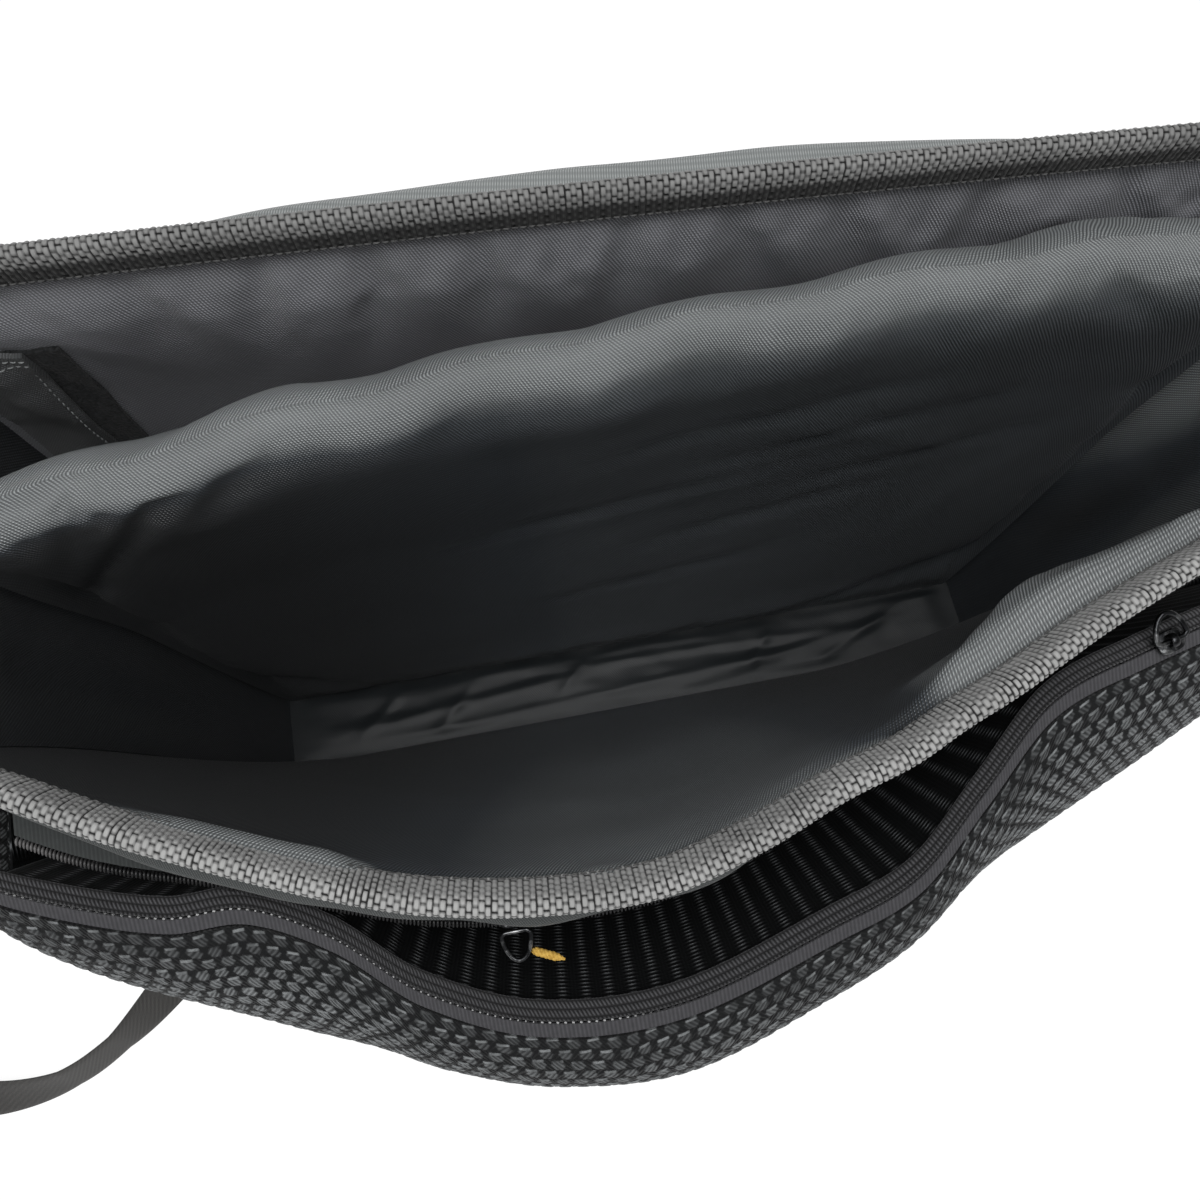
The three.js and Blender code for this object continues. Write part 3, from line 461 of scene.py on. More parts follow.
def narrowed(rings, centre, taper):
    """Rings drawn in towards a line by a share at each of its points."""
    return centre[:, None] + (rings - centre[:, None]) * taper[:, None, None]


def merged(name, parts, material):
    """One mesh of several closed skins given as rings."""
    points, faces, start = [], [], 0
    for rings in parts:
        own, own_faces = skin(rings)
        faces += [[k + start for k in f] for f in own_faces]
        points.append(own)
        start += len(own)
    points = np.concatenate(points)
    return make(name, points, faces, points, material)


# Materials
class Shader:
    """A node material that is built up from short calls."""

    def __init__(self, name, rough, specular, metal=0.0, sheen=0.0):
        self.material = bpy.data.materials.new(name)
        self.material.use_nodes = True
        self.tree = self.material.node_tree
        self.base = self.tree.nodes["Principled BSDF"]
        for key, value in (("Roughness", rough), ("Specular IOR Level", specular), ("Metallic", metal),
                           ("Sheen Weight", sheen), ("IOR", 1.5)):
            self.base.inputs[key].default_value = value

    def put(self, socket, value):
        if isinstance(value, bpy.types.NodeSocket):
            self.tree.links.new(value, socket)
        else:
            socket.default_value = value

    def node(self, kind, **settings):
        made = self.tree.nodes.new(kind)
        for key, value in settings.items():
            setattr(made, key, value)
        return made

    def math(self, operation, a, b=0.0, c=0.0):
        made = self.node("ShaderNodeMath", operation=operation)
        for socket, value in zip(made.inputs, (a, b, c)):
            self.put(socket, value)
        return made.outputs[0]

    def times(self, a, b):
        return self.math("MULTIPLY", a, b)

    def scaled(self, a, factor, added):
        return self.math("MULTIPLY_ADD", a, factor, added)

    def wave(self, place, period):
        """A cosine from 0 to 1 with a given period in millimetres."""
        turn = self.scaled(place, 2 * math.pi / period, 0.0)
        return self.scaled(self.math("COSINE", turn), 0.5, 0.5)

    def cloth(self):
        split = self.node("ShaderNodeSeparateXYZ")
        self.put(split.inputs[0], self.node("ShaderNodeAttribute", attribute_name="cloth").outputs["Vector"])
        return split.outputs

    def noise(self, scale, detail=3.0, rough=0.55):
        made = self.node("ShaderNodeTexNoise")
        made.inputs["Scale"].default_value = scale
        made.inputs["Detail"].default_value = detail
        made.inputs["Roughness"].default_value = rough
        self.put(made.inputs["Vector"], self.node("ShaderNodeTexCoord").outputs["Object"])
        return made.outputs["Fac"]

    def remap(self, value, low, high, to_low=0.0, to_high=1.0):
        made = self.node("ShaderNodeMapRange")
        for socket, number in zip(made.inputs, (value, low, high, to_low, to_high)):
            self.put(socket, number)
        return made.outputs[0]

    def blend(self, share, a, b):
        made = self.node("ShaderNodeMix", data_type="RGBA")
        self.put(made.inputs[0], share)
        for socket, value in zip(made.inputs[6:8], (a, b)):
            self.put(socket, value if isinstance(value, bpy.types.NodeSocket) else (*value, 1))
        return made.outputs[2]

    def colour(self, value):
        self.put(self.base.inputs["Base Color"], value)

    def rough(self, value):
        self.put(self.base.inputs["Roughness"], value)

    def bump(self, height, distance, strength=1.0):
        made = self.node("ShaderNodeBump")
        made.inputs["Strength"].default_value = strength
        made.inputs["Distance"].default_value = distance
        self.put(made.inputs["Height"], height)
        previous = self.base.inputs["Normal"].links
        if previous:
            self.put(made.inputs["Normal"], previous[0].from_socket)
        self.put(self.base.inputs["Normal"], made.outputs[0])


def twill(name, dark, light, painted_light_colours=None, pitch=1.07, rough=0.5, specular=0.35, sheen=0.1, depth=0.0003):
    """Fine nylon twill of diagonal lines; given paler colours, it takes painted light where its third channel
    is above zero and painted shade where it is below.
    """
    m = Shader(name, rough, specular, sheen=sheen)
    s, t, shade = m.cloth()
    slant = m.scaled(t, 0.62, s)
    weave = m.times(m.wave(slant, pitch), m.scaled(m.wave(t, pitch * 0.71), 0.6, 0.4))
    patchy = m.remap(m.noise(14, 4), 0.3, 0.7)
    share = m.scaled(patchy, 0.15, m.times(weave, 0.95))
    look = m.blend(share, dark, light)
    # Painted light towards the paler colours where the third channel is above zero, painted shade towards the
    # dark colour where it is below
    if painted_light_colours:
        look = m.blend(m.remap(shade, 0, 1), look, m.blend(share, *painted_light_colours))
        look = m.blend(m.remap(shade, 0, -1), look, dark)
    m.colour(look)
    m.rough(m.remap(weave, 0, 1, rough + 0.15, rough - 0.06))
    m.bump(m.noise(55, 3), 0.0006, 0.25)
    m.bump(weave, depth)
    return m.material


def webbing_look(name, valley, yarn):
    """Coarse yarn whose relief is in the mesh, with fine filaments along it and painted shade in the valleys
    between the yarns.
    """
    m = Shader(name, 0.8, 0.25, sheen=0.15)
    s, _, rise = m.cloth()
    worn = m.remap(m.noise(30, 4), 0.3, 0.75, 0.75, 1.15)
    # Yarn tops pale and valleys dark by the relief: painted shade, with an uneven wear tone over it
    lit = m.times(m.remap(rise, 0.3, 0.85), worn)
    m.colour(m.blend(lit, valley, yarn))
    m.bump(m.wave(s, 0.44), 0.00008, 0.7)
    m.bump(m.noise(900, 2), 0.0001, 0.5)
    return m.material


def knit_look():
    """Black rib knit with columns of short light loops."""
    m = Shader("rib_knit", 0.9, 0.15)
    s, t, _ = m.cloth()
    rib = m.wave(s, 6.8)
    loops = m.wave(t, 2.0)
    marks = m.times(m.math("POWER", rib, 5.0), m.math("POWER", loops, 2.5))
    ground = m.times(m.wave(s, 1.03), m.wave(t, 0.9))
    share = m.scaled(ground, 0.03, marks)
    m.colour(m.blend(share, (0.002, 0.0023, 0.0026), (0.11, 0.115, 0.12)))
    m.bump(m.scaled(ground, 0.3, m.times(rib, loops)), 0.0006)
    return m.material


def mesh_look():
    """Spacer mesh: woven pads with dark gaps, a pale dash at the edge of each as a painted highlight on its
    top thread, and painted shade on the pads near the zip tape.
    """
    m = Shader("air_mesh", 0.85, 0.25, sheen=0.05)
    s, t, _ = m.cloth()
    row = m.math("DIVIDE", t, CELL_ROW)
    odd = m.times(m.math("MODULO", m.math("FLOOR", row), 2.0), 0.5)
    cell = m.math("SUBTRACT", m.math("FRACT", m.scaled(s, 1 / CELL, odd)), 0.5)
    along = m.math("ABSOLUTE", cell)
    in_row = m.math("FRACT", row)
    across = m.math("ABSOLUTE", m.scaled(cell, 0.22, m.math("SUBTRACT", in_row, 0.2)))
    # Painted highlight: a pale dash on the top thread at the edge of each pad
    highlight_dash = m.times(m.remap(along, 0.33, 0.24), m.remap(across, 0.13, 0.07))
    highlight_dash = m.times(highlight_dash, m.remap(m.noise(150, 2), 0.38, 0.6, 0.1, 1))
    sign = m.scaled(odd, 4.0, -1.0)
    fine = m.wave(m.scaled(t, sign, s), 1.7)
    grain = m.remap(m.noise(420, 3), 0.3, 0.7)
    middle = m.math("ABSOLUTE", m.math("SUBTRACT", in_row, 0.5))
    reach = m.math("MAXIMUM", m.scaled(along, 1.15, m.times(middle, 0.55)), m.times(middle, 1.05))
    # Painted shade: pads darker within 24 mm of the zip tape, under the front rim
    pads = m.times(m.remap(reach, 0.5, 0.36), m.remap(t, 4, 24, 0.25, 1))
    thread = m.scaled(fine, 0.75, m.scaled(grain, 0.4, 0.05))
    share = m.math("MAXIMUM", m.times(pads, thread), m.times(highlight_dash, 0.95))
    m.colour(m.blend(share, (0.004, 0.0045, 0.005), (0.2, 0.21, 0.215)))
    m.bump(m.math("ADD", m.scaled(grain, 0.5, fine), highlight_dash), 0.00025)
    return m.material


def tape_look(name, dark, light, cords):
    """Zip tape ribbed across; the rear one has slanted ribs on round cords."""
    m = Shader(name, 0.75, 0.3, sheen=0.1)
    s, t, rise = m.cloth()
    if cords:
        ribs = m.wave(m.scaled(t, 0.4, s), 1.25)
        relief = m.times(ribs, m.remap(rise, 0.1, 0.6))
    else:
        relief = m.scaled(m.wave(s, 1.3), 0.35, 0.4)
    grain = m.remap(m.noise(500, 2), 0.2, 0.8, 0.75, 1.1)
    m.colour(m.blend(m.times(relief, grain), dark, light))
    m.bump(relief, 0.0003)
    return m.material


def metal_look(name, dark, bright):
    """Dark plating with small scratches and bright rubbed places."""
    m = Shader(name, 0.32, 0.5, metal=1.0)
    rubbed_and_painted_light = m.remap(m.noise(180, 5, 0.65), 0.5, 0.72)
    m.colour(m.blend(rubbed_and_painted_light, dark, bright))
    m.rough(m.remap(m.noise(420, 3), 0.3, 0.7, 0.22, 0.42))
    m.bump(m.noise(900, 2), 0.00004, 0.5)
    return m.material


def coil_with_painted_light():
    """Black coil, paler at the left end as painted light where it shows from under the roll, with an uneven
    grain.
    """
    m = Shader("coil_with_painted_light", 0.5, 0.4)
    x, _, _ = m.cloth()
    grain = m.remap(m.noise(300, 3), 0.2, 0.8, 0.6, 1)
    # Painted light: paler over the last 24 mm at the left end
    rubbed_and_painted_light = m.times(m.remap(x, -180, -204), grain)
    m.colour(m.blend(rubbed_and_painted_light, (0.006, 0.006, 0.0065), (0.13, 0.126, 0.126)))
    m.bump(m.noise(600, 2), 0.00005)
    return m.material


def plain_look(name, dark, light, scale, rough, specular, depth, sheen=0.0):
    """Nylon, thread or pile with an even grain."""
    m = Shader(name, rough, specular, sheen=sheen)
    grain = m.noise(scale, 4)
    m.colour(m.blend(m.remap(grain, 0.3, 0.7), dark, light))
    m.bump(grain, depth)
    return m.material


# Lining; its paler pair of colours is painted light for the front puffs and lips, the divider's rolled top
# and the right end
LINING = twill(
    "lining_twill", (0.0026, 0.0036, 0.0047), (0.046, 0.058, 0.071),
    ((0.016, 0.019, 0.021), (0.31, 0.33, 0.335)), rough=0.42, specular=1.0, sheen=0.03)
# A paler copy of the lining for the back wall: painted light
BACK_LINING = twill("back_lining_painted_light", (0.012, 0.0125, 0.0145), (0.19, 0.195, 0.215), specular=0.8)
# A darker copy of the lining for the left end: painted shade
END_LINING = twill("end_lining_painted_shade", (0.002, 0.0024, 0.003), (0.022, 0.026, 0.03), specular=0.8, sheen=0.02)
GLOSSY = twill(
    "floor_lining", (0.005, 0.006, 0.0066), (0.022, 0.025, 0.027),
    rough=0.27, specular=0.24, sheen=0.0, depth=0.0001)
# Outer cloth; its paler pair of colours is painted light for the top band of the back wall
SHELL = twill(
    "shell_nylon", (0.022, 0.0245, 0.0248), (0.085, 0.092, 0.092),
    ((0.13, 0.14, 0.14), (0.34, 0.36, 0.358)), pitch=0.8, specular=0.8, depth=0.00012)
# A darker copy of the outer cloth for the front wall: painted shade
SHADE_SHELL = twill(
    "front_shell_painted_shade", (0.02, 0.023, 0.0228), (0.07, 0.077, 0.077), pitch=0.8, depth=0.00012)
TAB_CLOTH = twill(
    "tab_cloth", (0.004, 0.005, 0.0055), (0.04, 0.043, 0.045), pitch=0.9, rough=0.45, specular=0.8)
BINDING = webbing_look("binding_webbing", (0.012, 0.012, 0.012), (0.38, 0.38, 0.375))
# A darker copy of the binding webbing for the back rim: painted shade
SHADED_BINDING = webbing_look("back_binding_painted_shade", (0.005, 0.005, 0.005), (0.23, 0.23, 0.227))
STRAP_LOOK = webbing_look("strap_webbing", (0.04, 0.0385, 0.037), (0.06, 0.058, 0.055))
KNIT = knit_look()
MESH = mesh_look()
TAPE = tape_look("zip_tape", (0.008, 0.008, 0.009), (0.075, 0.074, 0.081), False)
CORD_TAPE = tape_look("corded_tape", (0.003, 0.003, 0.0035), (0.075, 0.075, 0.08), True)
# A darker copy of the zip tape for the tape under the front rim: painted shade
SHADED_RIM_TAPE = tape_look("rim_tape", (0.01, 0.0112, 0.0112), (0.045, 0.05, 0.05), False)
COIL = plain_look("coil_nylon", (0.006, 0.006, 0.007), (0.02, 0.02, 0.022), 300, 0.18, 0.7, 0.00005)
RIM_COIL = coil_with_painted_light()
METAL = metal_look("gunmetal", (0.03, 0.031, 0.033), (0.3, 0.305, 0.31))
VELVET = plain_look("loop_velvet", (0.001, 0.0012, 0.0013), (0.02, 0.021, 0.022), 900, 0.95, 0.1, 0.0008, 0.1)
YELLOW = plain_look("yellow_thread", (0.36, 0.2, 0.03), (0.66, 0.43, 0.1), 800, 0.8, 0.2, 0.0003)
PALE_THREAD = plain_look("tab_thread", (0.08, 0.085, 0.085), (0.22, 0.23, 0.23), 900, 0.7, 0.3, 0.0001)
THREAD = plain_look("stitch_thread", (0.03, 0.031, 0.031), (0.1, 0.1, 0.098), 900, 0.7, 0.3, 0.0001)


def dress(piece, slot, *nodes, body="bag"):
    """Seats a piece on a body and hides the solids that it replaces; its slot is not used."""
    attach(piece, body)
    if nodes:
        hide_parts(*nodes)
    return piece


def cut_cloth(piece, bottom, top, length, held):
    """Reads the larger of the foot and top of a cloth cut, in millimetres, and declares nothing."""
    max(bottom, top) * MM


STITCH_RADIUS, STITCH_OFF = 0.3, 3.1


def stitches(name, start, end, normal, material, slot):
    """A row of thread stitches, each a small rounded bar bowed off the cloth."""
    bow = np.sin(np.linspace(0, np.pi, 5))[:, None]
    share = np.linspace(0, 1, 5)[:, None]
    taper = np.array([0.45, 0.9, 1, 0.9, 0.45])
    parts = []
    for a, b, n in zip(start, end, normal):
        path = a + (b - a) * share + n * (bow * STITCH_RADIUS * 0.8)
        parts.append(narrowed(tube(path, STITCH_RADIUS, 6), path, taper))
    dress(merged(name, parts, material), slot)


# Padded cloth
COARSE_US = np.linspace(-1, 1, 89)


def resampled(grid, old_us, old_vs, us, vs):
    """A grid of vectors read at other stations of both ways."""
    def along(values, old, new):
        columns = values.reshape(len(old), -1).T
        read = [column(np.column_stack([old, values_at]), 1, new) for values_at in columns]
        return np.stack(read, axis=-1).reshape(len(new), *values.shape[1:])
    by_u = along(grid, old_us, us)
    return np.swapaxes(along(np.swapaxes(by_u, 0, 1), old_vs, vs), 0, 1)


def settle(near, far, *sewn):
    """Moves of both faces of padded cloth, simulated with air inside and the sewn points of each held."""
    copy = closed_sheet("settling", near, far, LINING)
    copy.vertex_groups.new(name="sewn").add(np.flatnonzero(np.stack(sewn)).tolist(), 1.0, "REPLACE")
    cloth = copy.modifiers.new("cloth", "CLOTH")
    soft = cloth.settings
    soft.quality = 6
    soft.mass = 0.2
    soft.tension_stiffness = soft.compression_stiffness = 12
    soft.shear_stiffness = 4
    soft.bending_stiffness = 0.4
    soft.use_pressure = True
    soft.uniform_pressure_force = 4
    soft.shrink_min = -SPARE_CLOTH
    soft.vertex_group_mass = "sewn"
    soft.effector_weights.gravity = 0
    cloth.collision_settings.use_collision = False
    scene = bpy.context.scene
    for step in range(1, SETTLE_STEPS + 1):
        scene.frame_set(step)
    settled = copy.evaluated_get(bpy.context.evaluated_depsgraph_get()).data
    after = np.empty(3 * len(settled.vertices), np.float32)
    settled.vertices.foreach_get("co", after)
    moves = after.reshape(2, *near.shape) / MM - np.stack([near, far])
    bpy.data.objects.remove(copy)
    scene.frame_set(1)
    size = np.linalg.norm(moves, axis=-1, keepdims=True)
    return moves * MOST_MOVE * np.tanh(size / MOST_MOVE) / np.maximum(size, 1e-6)


# Walls
def finer(stations, most):
    """Stations with steps no longer than a given one."""
    out = [stations[0]]
    for a, b in zip(stations[:-1], stations[1:]):
        count = max(1, math.ceil((b - a) / most))
        out += [a + (b - a) * k / count for k in range(1, count + 1)]
    return np.array(out)


WALL_VS = np.concatenate([
    finer([0, 0.3, 0.7], 0.04)[:-1], np.linspace(0.7, 0.925, 36)[:-1], finer([0.925, 1], 0.02)])
WALL_US = np.linspace(-1, 1, 211)


def front_outer(u, v):
    x, up = u * HALF_TOP, v * FRONT_LENGTH
    folds = 1 + 0.18 * noise(x, up * 2, 24, 3)
    soft = 0.5 * noise(x, up, 40, 4) * between(v, 0.05, 0.2, 0.88, 0.925)
    rolled = column(FRONT_RIM, 3, x) * swell(v, ROLL) * folds
    return FRONT_HALF + (rolled + np.maximum(soft, -0.4)) * end_fade(u)


def lip_height(x):
    """Lining pushed up over the binding's seam, at the left and beside the middle."""
    left = 4.2 * between(x, -186, -152, -122, -98) * (1 + 0.25 * noise(x, 0 * x, 18, 10))
    return left + 2.2 * between(x, -52, -44, -38, -28) + 2.0 * between(x, -18, 4, 40, 60)


# Folds of the front lining: both ends, height, width; those of the slack cloth grow with it
SLACK_FOLDS = (((60, 246), (150, 205), 0.25, 6), ((75, 236), (120, 180), -0.18, 4))
FRONT_FOLDS = (((-160, 150), (20, 190), 0.5, 7), ((-60, 120), (110, 160), 0.4, 9))


def front_inner(u, v):
    x, up = u * HALF_TOP, v * FRONT_LENGTH
    slack = column(FRONT_RIM, 2, x)
    folds = 1 + 0.16 * noise(x, up, 22, 7) + 0.08 * noise(x, up, 9, 8)
    pulled = slack * creases(x, up, SLACK_FOLDS) + creases(x, up, FRONT_FOLDS)
    soft = 0.45 * noise(x, up, 34, 9) * between(v, 0.02, 0.15, 0.85, 0.92)
    swollen = slack * swell(v, PUFF) * folds + lip_height(x) * swell(v, LIP)
    fade = end_fade(u) * (1 - smooth(v, 0.905, 0.925))
    return FRONT_HALF + swollen * end_fade(u) + (np.maximum(soft, -0.3) + pulled) * fade


def front_shade(u, v):
    """Painted light on the puffs and lips under the rim and in the middle, painted shade at the ends."""
    x = u * HALF_TOP
    middle = between(x, -150, -40, 10, 80)
    puffs = smooth(column(FRONT_RIM, 2, x), 2.6, 6) * smooth(v, 0.76, 0.82)
    lips = smooth(lip_height(x), 0.3, 1.6) * smooth(v, 0.905, 0.925)
    pale = np.maximum(puffs, lips)
    return np.maximum(pale, 0.62 * middle * smooth(v, 0.1, 0.95)) - 0.9 * (1 - middle) * (1 - pale)


def layered(name, near, far, core, looks, node, shades):
    """A wall of two cloths: one on each side of a thin core."""
    sides = (near, mix(core, near, 0.05)), (mix(core, far, 0.05), far)
    pieces = []
    for faces, look, shade in zip(sides, looks, shades):
        kind = "lining" if look in (LINING, BACK_LINING) else "shell"
        pieces.append(dress(closed_sheet(f"{name}_{kind}", *faces, look, shade), kind, node))
    return pieces


near, far = thick(WALL_US, WALL_VS, front_wall, front_outer, front_inner, FLOOR)
core = thick(WALL_US, WALL_VS, front_wall, 0.0, 0.0, FLOOR)[0]
# Painted light and shade on the front lining, by front_shade
shades = None, front_shade(*grid_of(WALL_US, WALL_VS))
front_walls = layered("front_wall", near, far, core, (SHADE_SHELL, LINING), "front_panel", shades)
for cloth, held in zip(front_walls, ("stretched", "gathered")):
    cut_cloth(
        cloth, 2 * HALF_BOTTOM, 2 * HALF_TOP, FRONT_LENGTH + RIM_ABOVE, held)

# Pucker points under the back binding: place and slant of each fold
PUCKERS = (
    (-186, 0.5), (-150, 0.35), (-110, -0.2), (-78, 0.3), (-46, 0.25),
    (5, -0.3), (38, 0.2), (72, 0.35), (122, -0.25), (165, 0.3))


def gathers(x, down):
    """Lining gathered at its seam: swelling below it, with folds fanning from the pucker points."""
    bulge = 2.4 * smooth(down, 0, 8) * (1 - 0.7 * smooth(down, 12, 60))
    for at, slant in PUCKERS:
        middle, width = x - at - slant * down, 4 + 0.3 * down
        fold = 2.4 * np.exp(-(middle / width) ** 2) - 0.8 * np.exp(-((middle - 1.6 * width) / width) ** 2)
        bulge = bulge - fold * np.exp(-down / 45) * smooth(down, -3, 5)
    return bulge


# Folds of the back lining and pulled lines of the back's outer cloth: both ends, height, width
LINING_FOLDS = (
    ((-214, 276), (-186, 205), 2.2, 5), ((-205, 276), (-172, 215), -1.6, 4),
    ((-196, 277), (-150, 235), 1.5, 5), ((-20, 278), (20, 225), 1.2, 7))
BACK_LINES = (
    ((-205, 190), (-90, 60), 2.4, 7), ((195, 200), (70, 80), 2.4, 8),
    ((-150, 225), (120, 205), 2.0, 9), ((-100, 40), (140, 55), 1.8, 8))


def back_inner(u, v):
    x, up = u * HALF_TOP, v * BACK_HEIGHT
    folds = 1.1 * noise(x, up * 0.5, 34, 12) * pad_shape(v) + gathers(x, BACK_SEAM - up)
    folds += creases(x, up, LINING_FOLDS)
    inside = (1 - smooth(v, 0.945, 0.957)) * end_fade(u)
    return EDGE_HALF + BACK_PAD * pad_shape(v) + np.clip(folds, -3, 4) * inside


def back_outer(u, v):
    x, up = u * HALF_TOP, v * BACK_HEIGHT
    slack = column(BACK_SLACK, 1, x) * slack_shape(v)
    folds = 1 + 0.1 * noise(x, up, 40, 13)
    sags = 1.2 * noise(x * 0.8 + up * 0.4, up * 0.5, 46, 14) + 0.5 * noise(x, up, 24, 15)
    sags += creases(x, up, BACK_LINES)
    return EDGE_HALF + BACK_PAD * pad_shape(v) + (slack * folds + sags * pad_shape(v)) * end_fade(u)


BACK_US = np.linspace(-1, 1, 181)
BACK_VS = np.unique(np.concatenate([finer([0, 0.05, 0.2, 0.8, 1], 0.018), np.linspace(0.86, 0.965, 34)]))
TAB_EDGE = -0.76
near, far = thick(BACK_US, BACK_VS, back_wall, back_inner, back_outer, FLOOR)
core = thick(BACK_US, BACK_VS, back_wall, 0.0, 0.0, FLOOR)[0]
coarse = COARSE_US, np.linspace(0, 1, 59)
u, v = grid_of(*coarse)
sewn = (v < 0.03) | (v > 0.945) | (u > 0.96) | (u < TAB_EDGE)
start = thick(*coarse, back_wall, back_inner, 0.0, FLOOR)
moves = settle(*start, sewn, np.full_like(sewn, True)) * smooth(u, TAB_EDGE, TAB_EDGE + 0.3)[..., None]
near = near + resampled(moves[0], *coarse, BACK_US, BACK_VS)
# Painted light on the top band of the back wall's outer cloth
shades = None, smooth(grid_of(BACK_US, BACK_VS)[1], 0.86, 0.93)
back_lining, back_shell = layered(
    "back_wall", near, far, core, (BACK_LINING, SHELL), "back_panel", shades)
cut_cloth(
    back_shell, 2 * HALF_BOTTOM, 2 * HALF_TOP, BACK_RIM["z"] + RIM_ABOVE, "stretched")

# Divider with a puckered rolled top
ROUND_FROM = 1 - DIVIDER_HALF / DIVIDER_TOP["z"]


def round_top(count):
    """Stations over the rolled top, closer together at its crest."""
    return mix(ROUND_FROM, 1, np.sin(np.linspace(0, np.pi / 2, count)))


def divider_half(v):
    """Half thickness of the divider, rounded over its top."""
    t = np.clip((v - ROUND_FROM) / (1 - ROUND_FROM), 0, 0.9995)
    return divider_full(v) * np.sqrt(1 - t * t)


# Pulled lines on the divider's face: both ends, height, width
FACE_LINES = (
    ((-60, 150), (130, 175), 0.8, 5), ((-20, 120), (150, 150), -0.7, 6), ((40, 215), (150, 160), 0.9, 6),
    ((120, 60), (205, 190), 0.8, 8), ((-150, 12), (40, 20), 1.2, 4), ((-20, 10), (150, 24), 1.2, 4),
    ((-30, 207), (120, 224), -2, 3), ((10, 184), (170, 206), -2, 3), ((-90, 158), (60, 171), -2, 3),
    ((60, 148), (190, 178), -2, 3), ((-10, 118), (120, 140), -2, 3), ((-60, 80), (90, 96), -2, 3))


def divider_face(seed, pull):
    """Stand-off of one face of the divider, with its pulled lines as strong as the pull says."""
    def off(u, v):
        x, up = u * HALF_TOP, v * DIVIDER_HEIGHT
        puckers = 1.7 * noise(x, up * 0.6, 30, seed) + 0.6 * noise(x, up, 11, seed + 2)
        puckers *= between(v, 0.84, 0.95, 0.997, 1) * mix(0.4, 1, pull)
        soft = 0.7 * noise(x * 0.5, up, 26, seed + 1) * between(v, 0.02, 0.1, 0.9, 0.97)
        lines = pull * creases(x, up, FACE_LINES) * (v < 0.95)
        inside = 1 - smooth(np.abs(u), 0.95, 1)
        share = mix(1, START_SHARE, inside * between(v, 0.02, 0.15, 0.82, 0.94))
        return divider_half(v) * share + (np.maximum(puckers + soft, -1.5) + lines) * inside
    return off


DIVIDER_US = np.linspace(-1, 1, 231)
DIVIDER_VS = np.concatenate([finer([0, 0.5, 0.8, ROUND_FROM], 0.018)[:-1], round_top(18)])
DIVIDER_FACES = divider_face(21, 1), divider_face(24, 0.3)
near, far = thick(DIVIDER_US, DIVIDER_VS, divider_mid, *DIVIDER_FACES, FLOOR)
coarse = COARSE_US, np.concatenate([np.linspace(0, ROUND_FROM, 52)[:-1], round_top(6)])
u, v = grid_of(*coarse)
sewn = (v < 0.03) | (np.abs(u) > 0.97)
start = thick(*coarse, divider_mid, *DIVIDER_FACES, FLOOR)
moves = settle(*start, sewn, sewn) * np.array([1, 1, KEPT_HEIGHT])
near, far = (
    face + resampled(move, *coarse, DIVIDER_US, DIVIDER_VS) for face, move in zip((near, far), moves))
wall_u, wall_v = grid_of(DIVIDER_US, DIVIDER_VS)
# Painted light on the divider's rolled top, with a wavy lower edge, and a little on the right of its face;
# painted shade over the left part of its face
lit_from = wall_v + 0.008 * noise(wall_u * HALF_TOP, wall_v * 90, 15, 27)
divider_shade = mix(mix(-0.9, 0.16, smooth(wall_u, -0.75, -0.05)), 1.1, smooth(lit_from, 0.945, 0.99))
divider_cloth = dress(closed_sheet("divider_cloth", near, far, LINING, divider_shade), "lining", "divider")


# Gussets
def pleats(w, v):
    """Lengthwise folds of the ends, from -1 to 1."""
    return np.sin(2 * np.pi * (1.6 * w + 0.35 * v))


def end_folds(w, v, seed):
    folds = 1.1 * noise(w * 120, v * 130, 22, seed) + 0.35 * noise(w * 40, v * 260, 12, seed + 1)
    return (folds + 0.7 * pleats(w, v)) * smooth(v, 0.03, 0.15) * np.sin(np.pi * w) ** 0.5


END_WS, END_VS = np.linspace(0, 1, 61), np.linspace(0, GUSSET_TOP, 61)
end_w, end_v = grid_of(END_WS, END_VS)
for name, side, seed, look in (("left", -1, 31, END_LINING), ("right", 1, 33, LINING)):
    folds = end_folds(end_w, end_v, seed)
    near, far = thick(
        END_WS, END_VS, lambda w, v: gusset_mid(side, w, v), GUSSET_HALF + folds, GUSSET_HALF - folds, FLOOR)
    # Painted light on the upper part and along the pleats, painted shade on the lower part; only the right
    # end's lining shows it
    painted_light_streaks = mix(-0.4, 0.5, smooth(end_v, 0.3, 0.7)) + 0.25 * noise(end_w * 90, end_v * 50, 14, seed + 2)
    painted_light_streaks += 0.5 * pleats(end_w, end_v) * smooth(end_v, 0.15, 0.4)
    gusset = dress(closed_sheet(f"{name}_gusset_cloth", near, far, look, painted_light_streaks), "lining", f"{name}_gusset")
    cut_cloth(gusset, FRONT_FOOT + BACK_FOOT, GUSSET_WIDTH, GUSSET_LENGTH, "stretched")

# Base with a wrinkled glossy lining inside
BASE_X, BASE_Y, BASE_CORNER, BASE_TOP = 185, 48.6, 14, 3.0


def base_point(a, b):
    x, y = a * BASE_X, b * BASE_Y
    over = np.maximum(np.abs(x) - (BASE_X - BASE_CORNER), 0) / BASE_CORNER
    inset = BASE_CORNER * (1 - np.sqrt(np.maximum(1 - over ** 2, 0)))
    return stack(x, y * (1 - inset / BASE_Y), BASE_TOP / 2 + 0 * x)


# Creases of the floor lining: both ends, height, width
FLOOR_CREASES = (
    ((-165, -30), (30, -15), 1.4, 3), ((-130, -37), (95, -27), 1.2, 2.5), ((-60, -14), (125, -21), 1.2, 2.5),
    ((20, -36), (165, -17), 1.5, 3), ((95, -37), (150, -12), 1.3, 2.5), ((-146, -36), (-118, -12), 1.2, 3),
    ((-104, -38), (-80, -13), 1.3, 3), ((-40, -30), (-22, -12), 1.0, 2.5), ((60, -34), (76, -14), 1.1, 2.5))


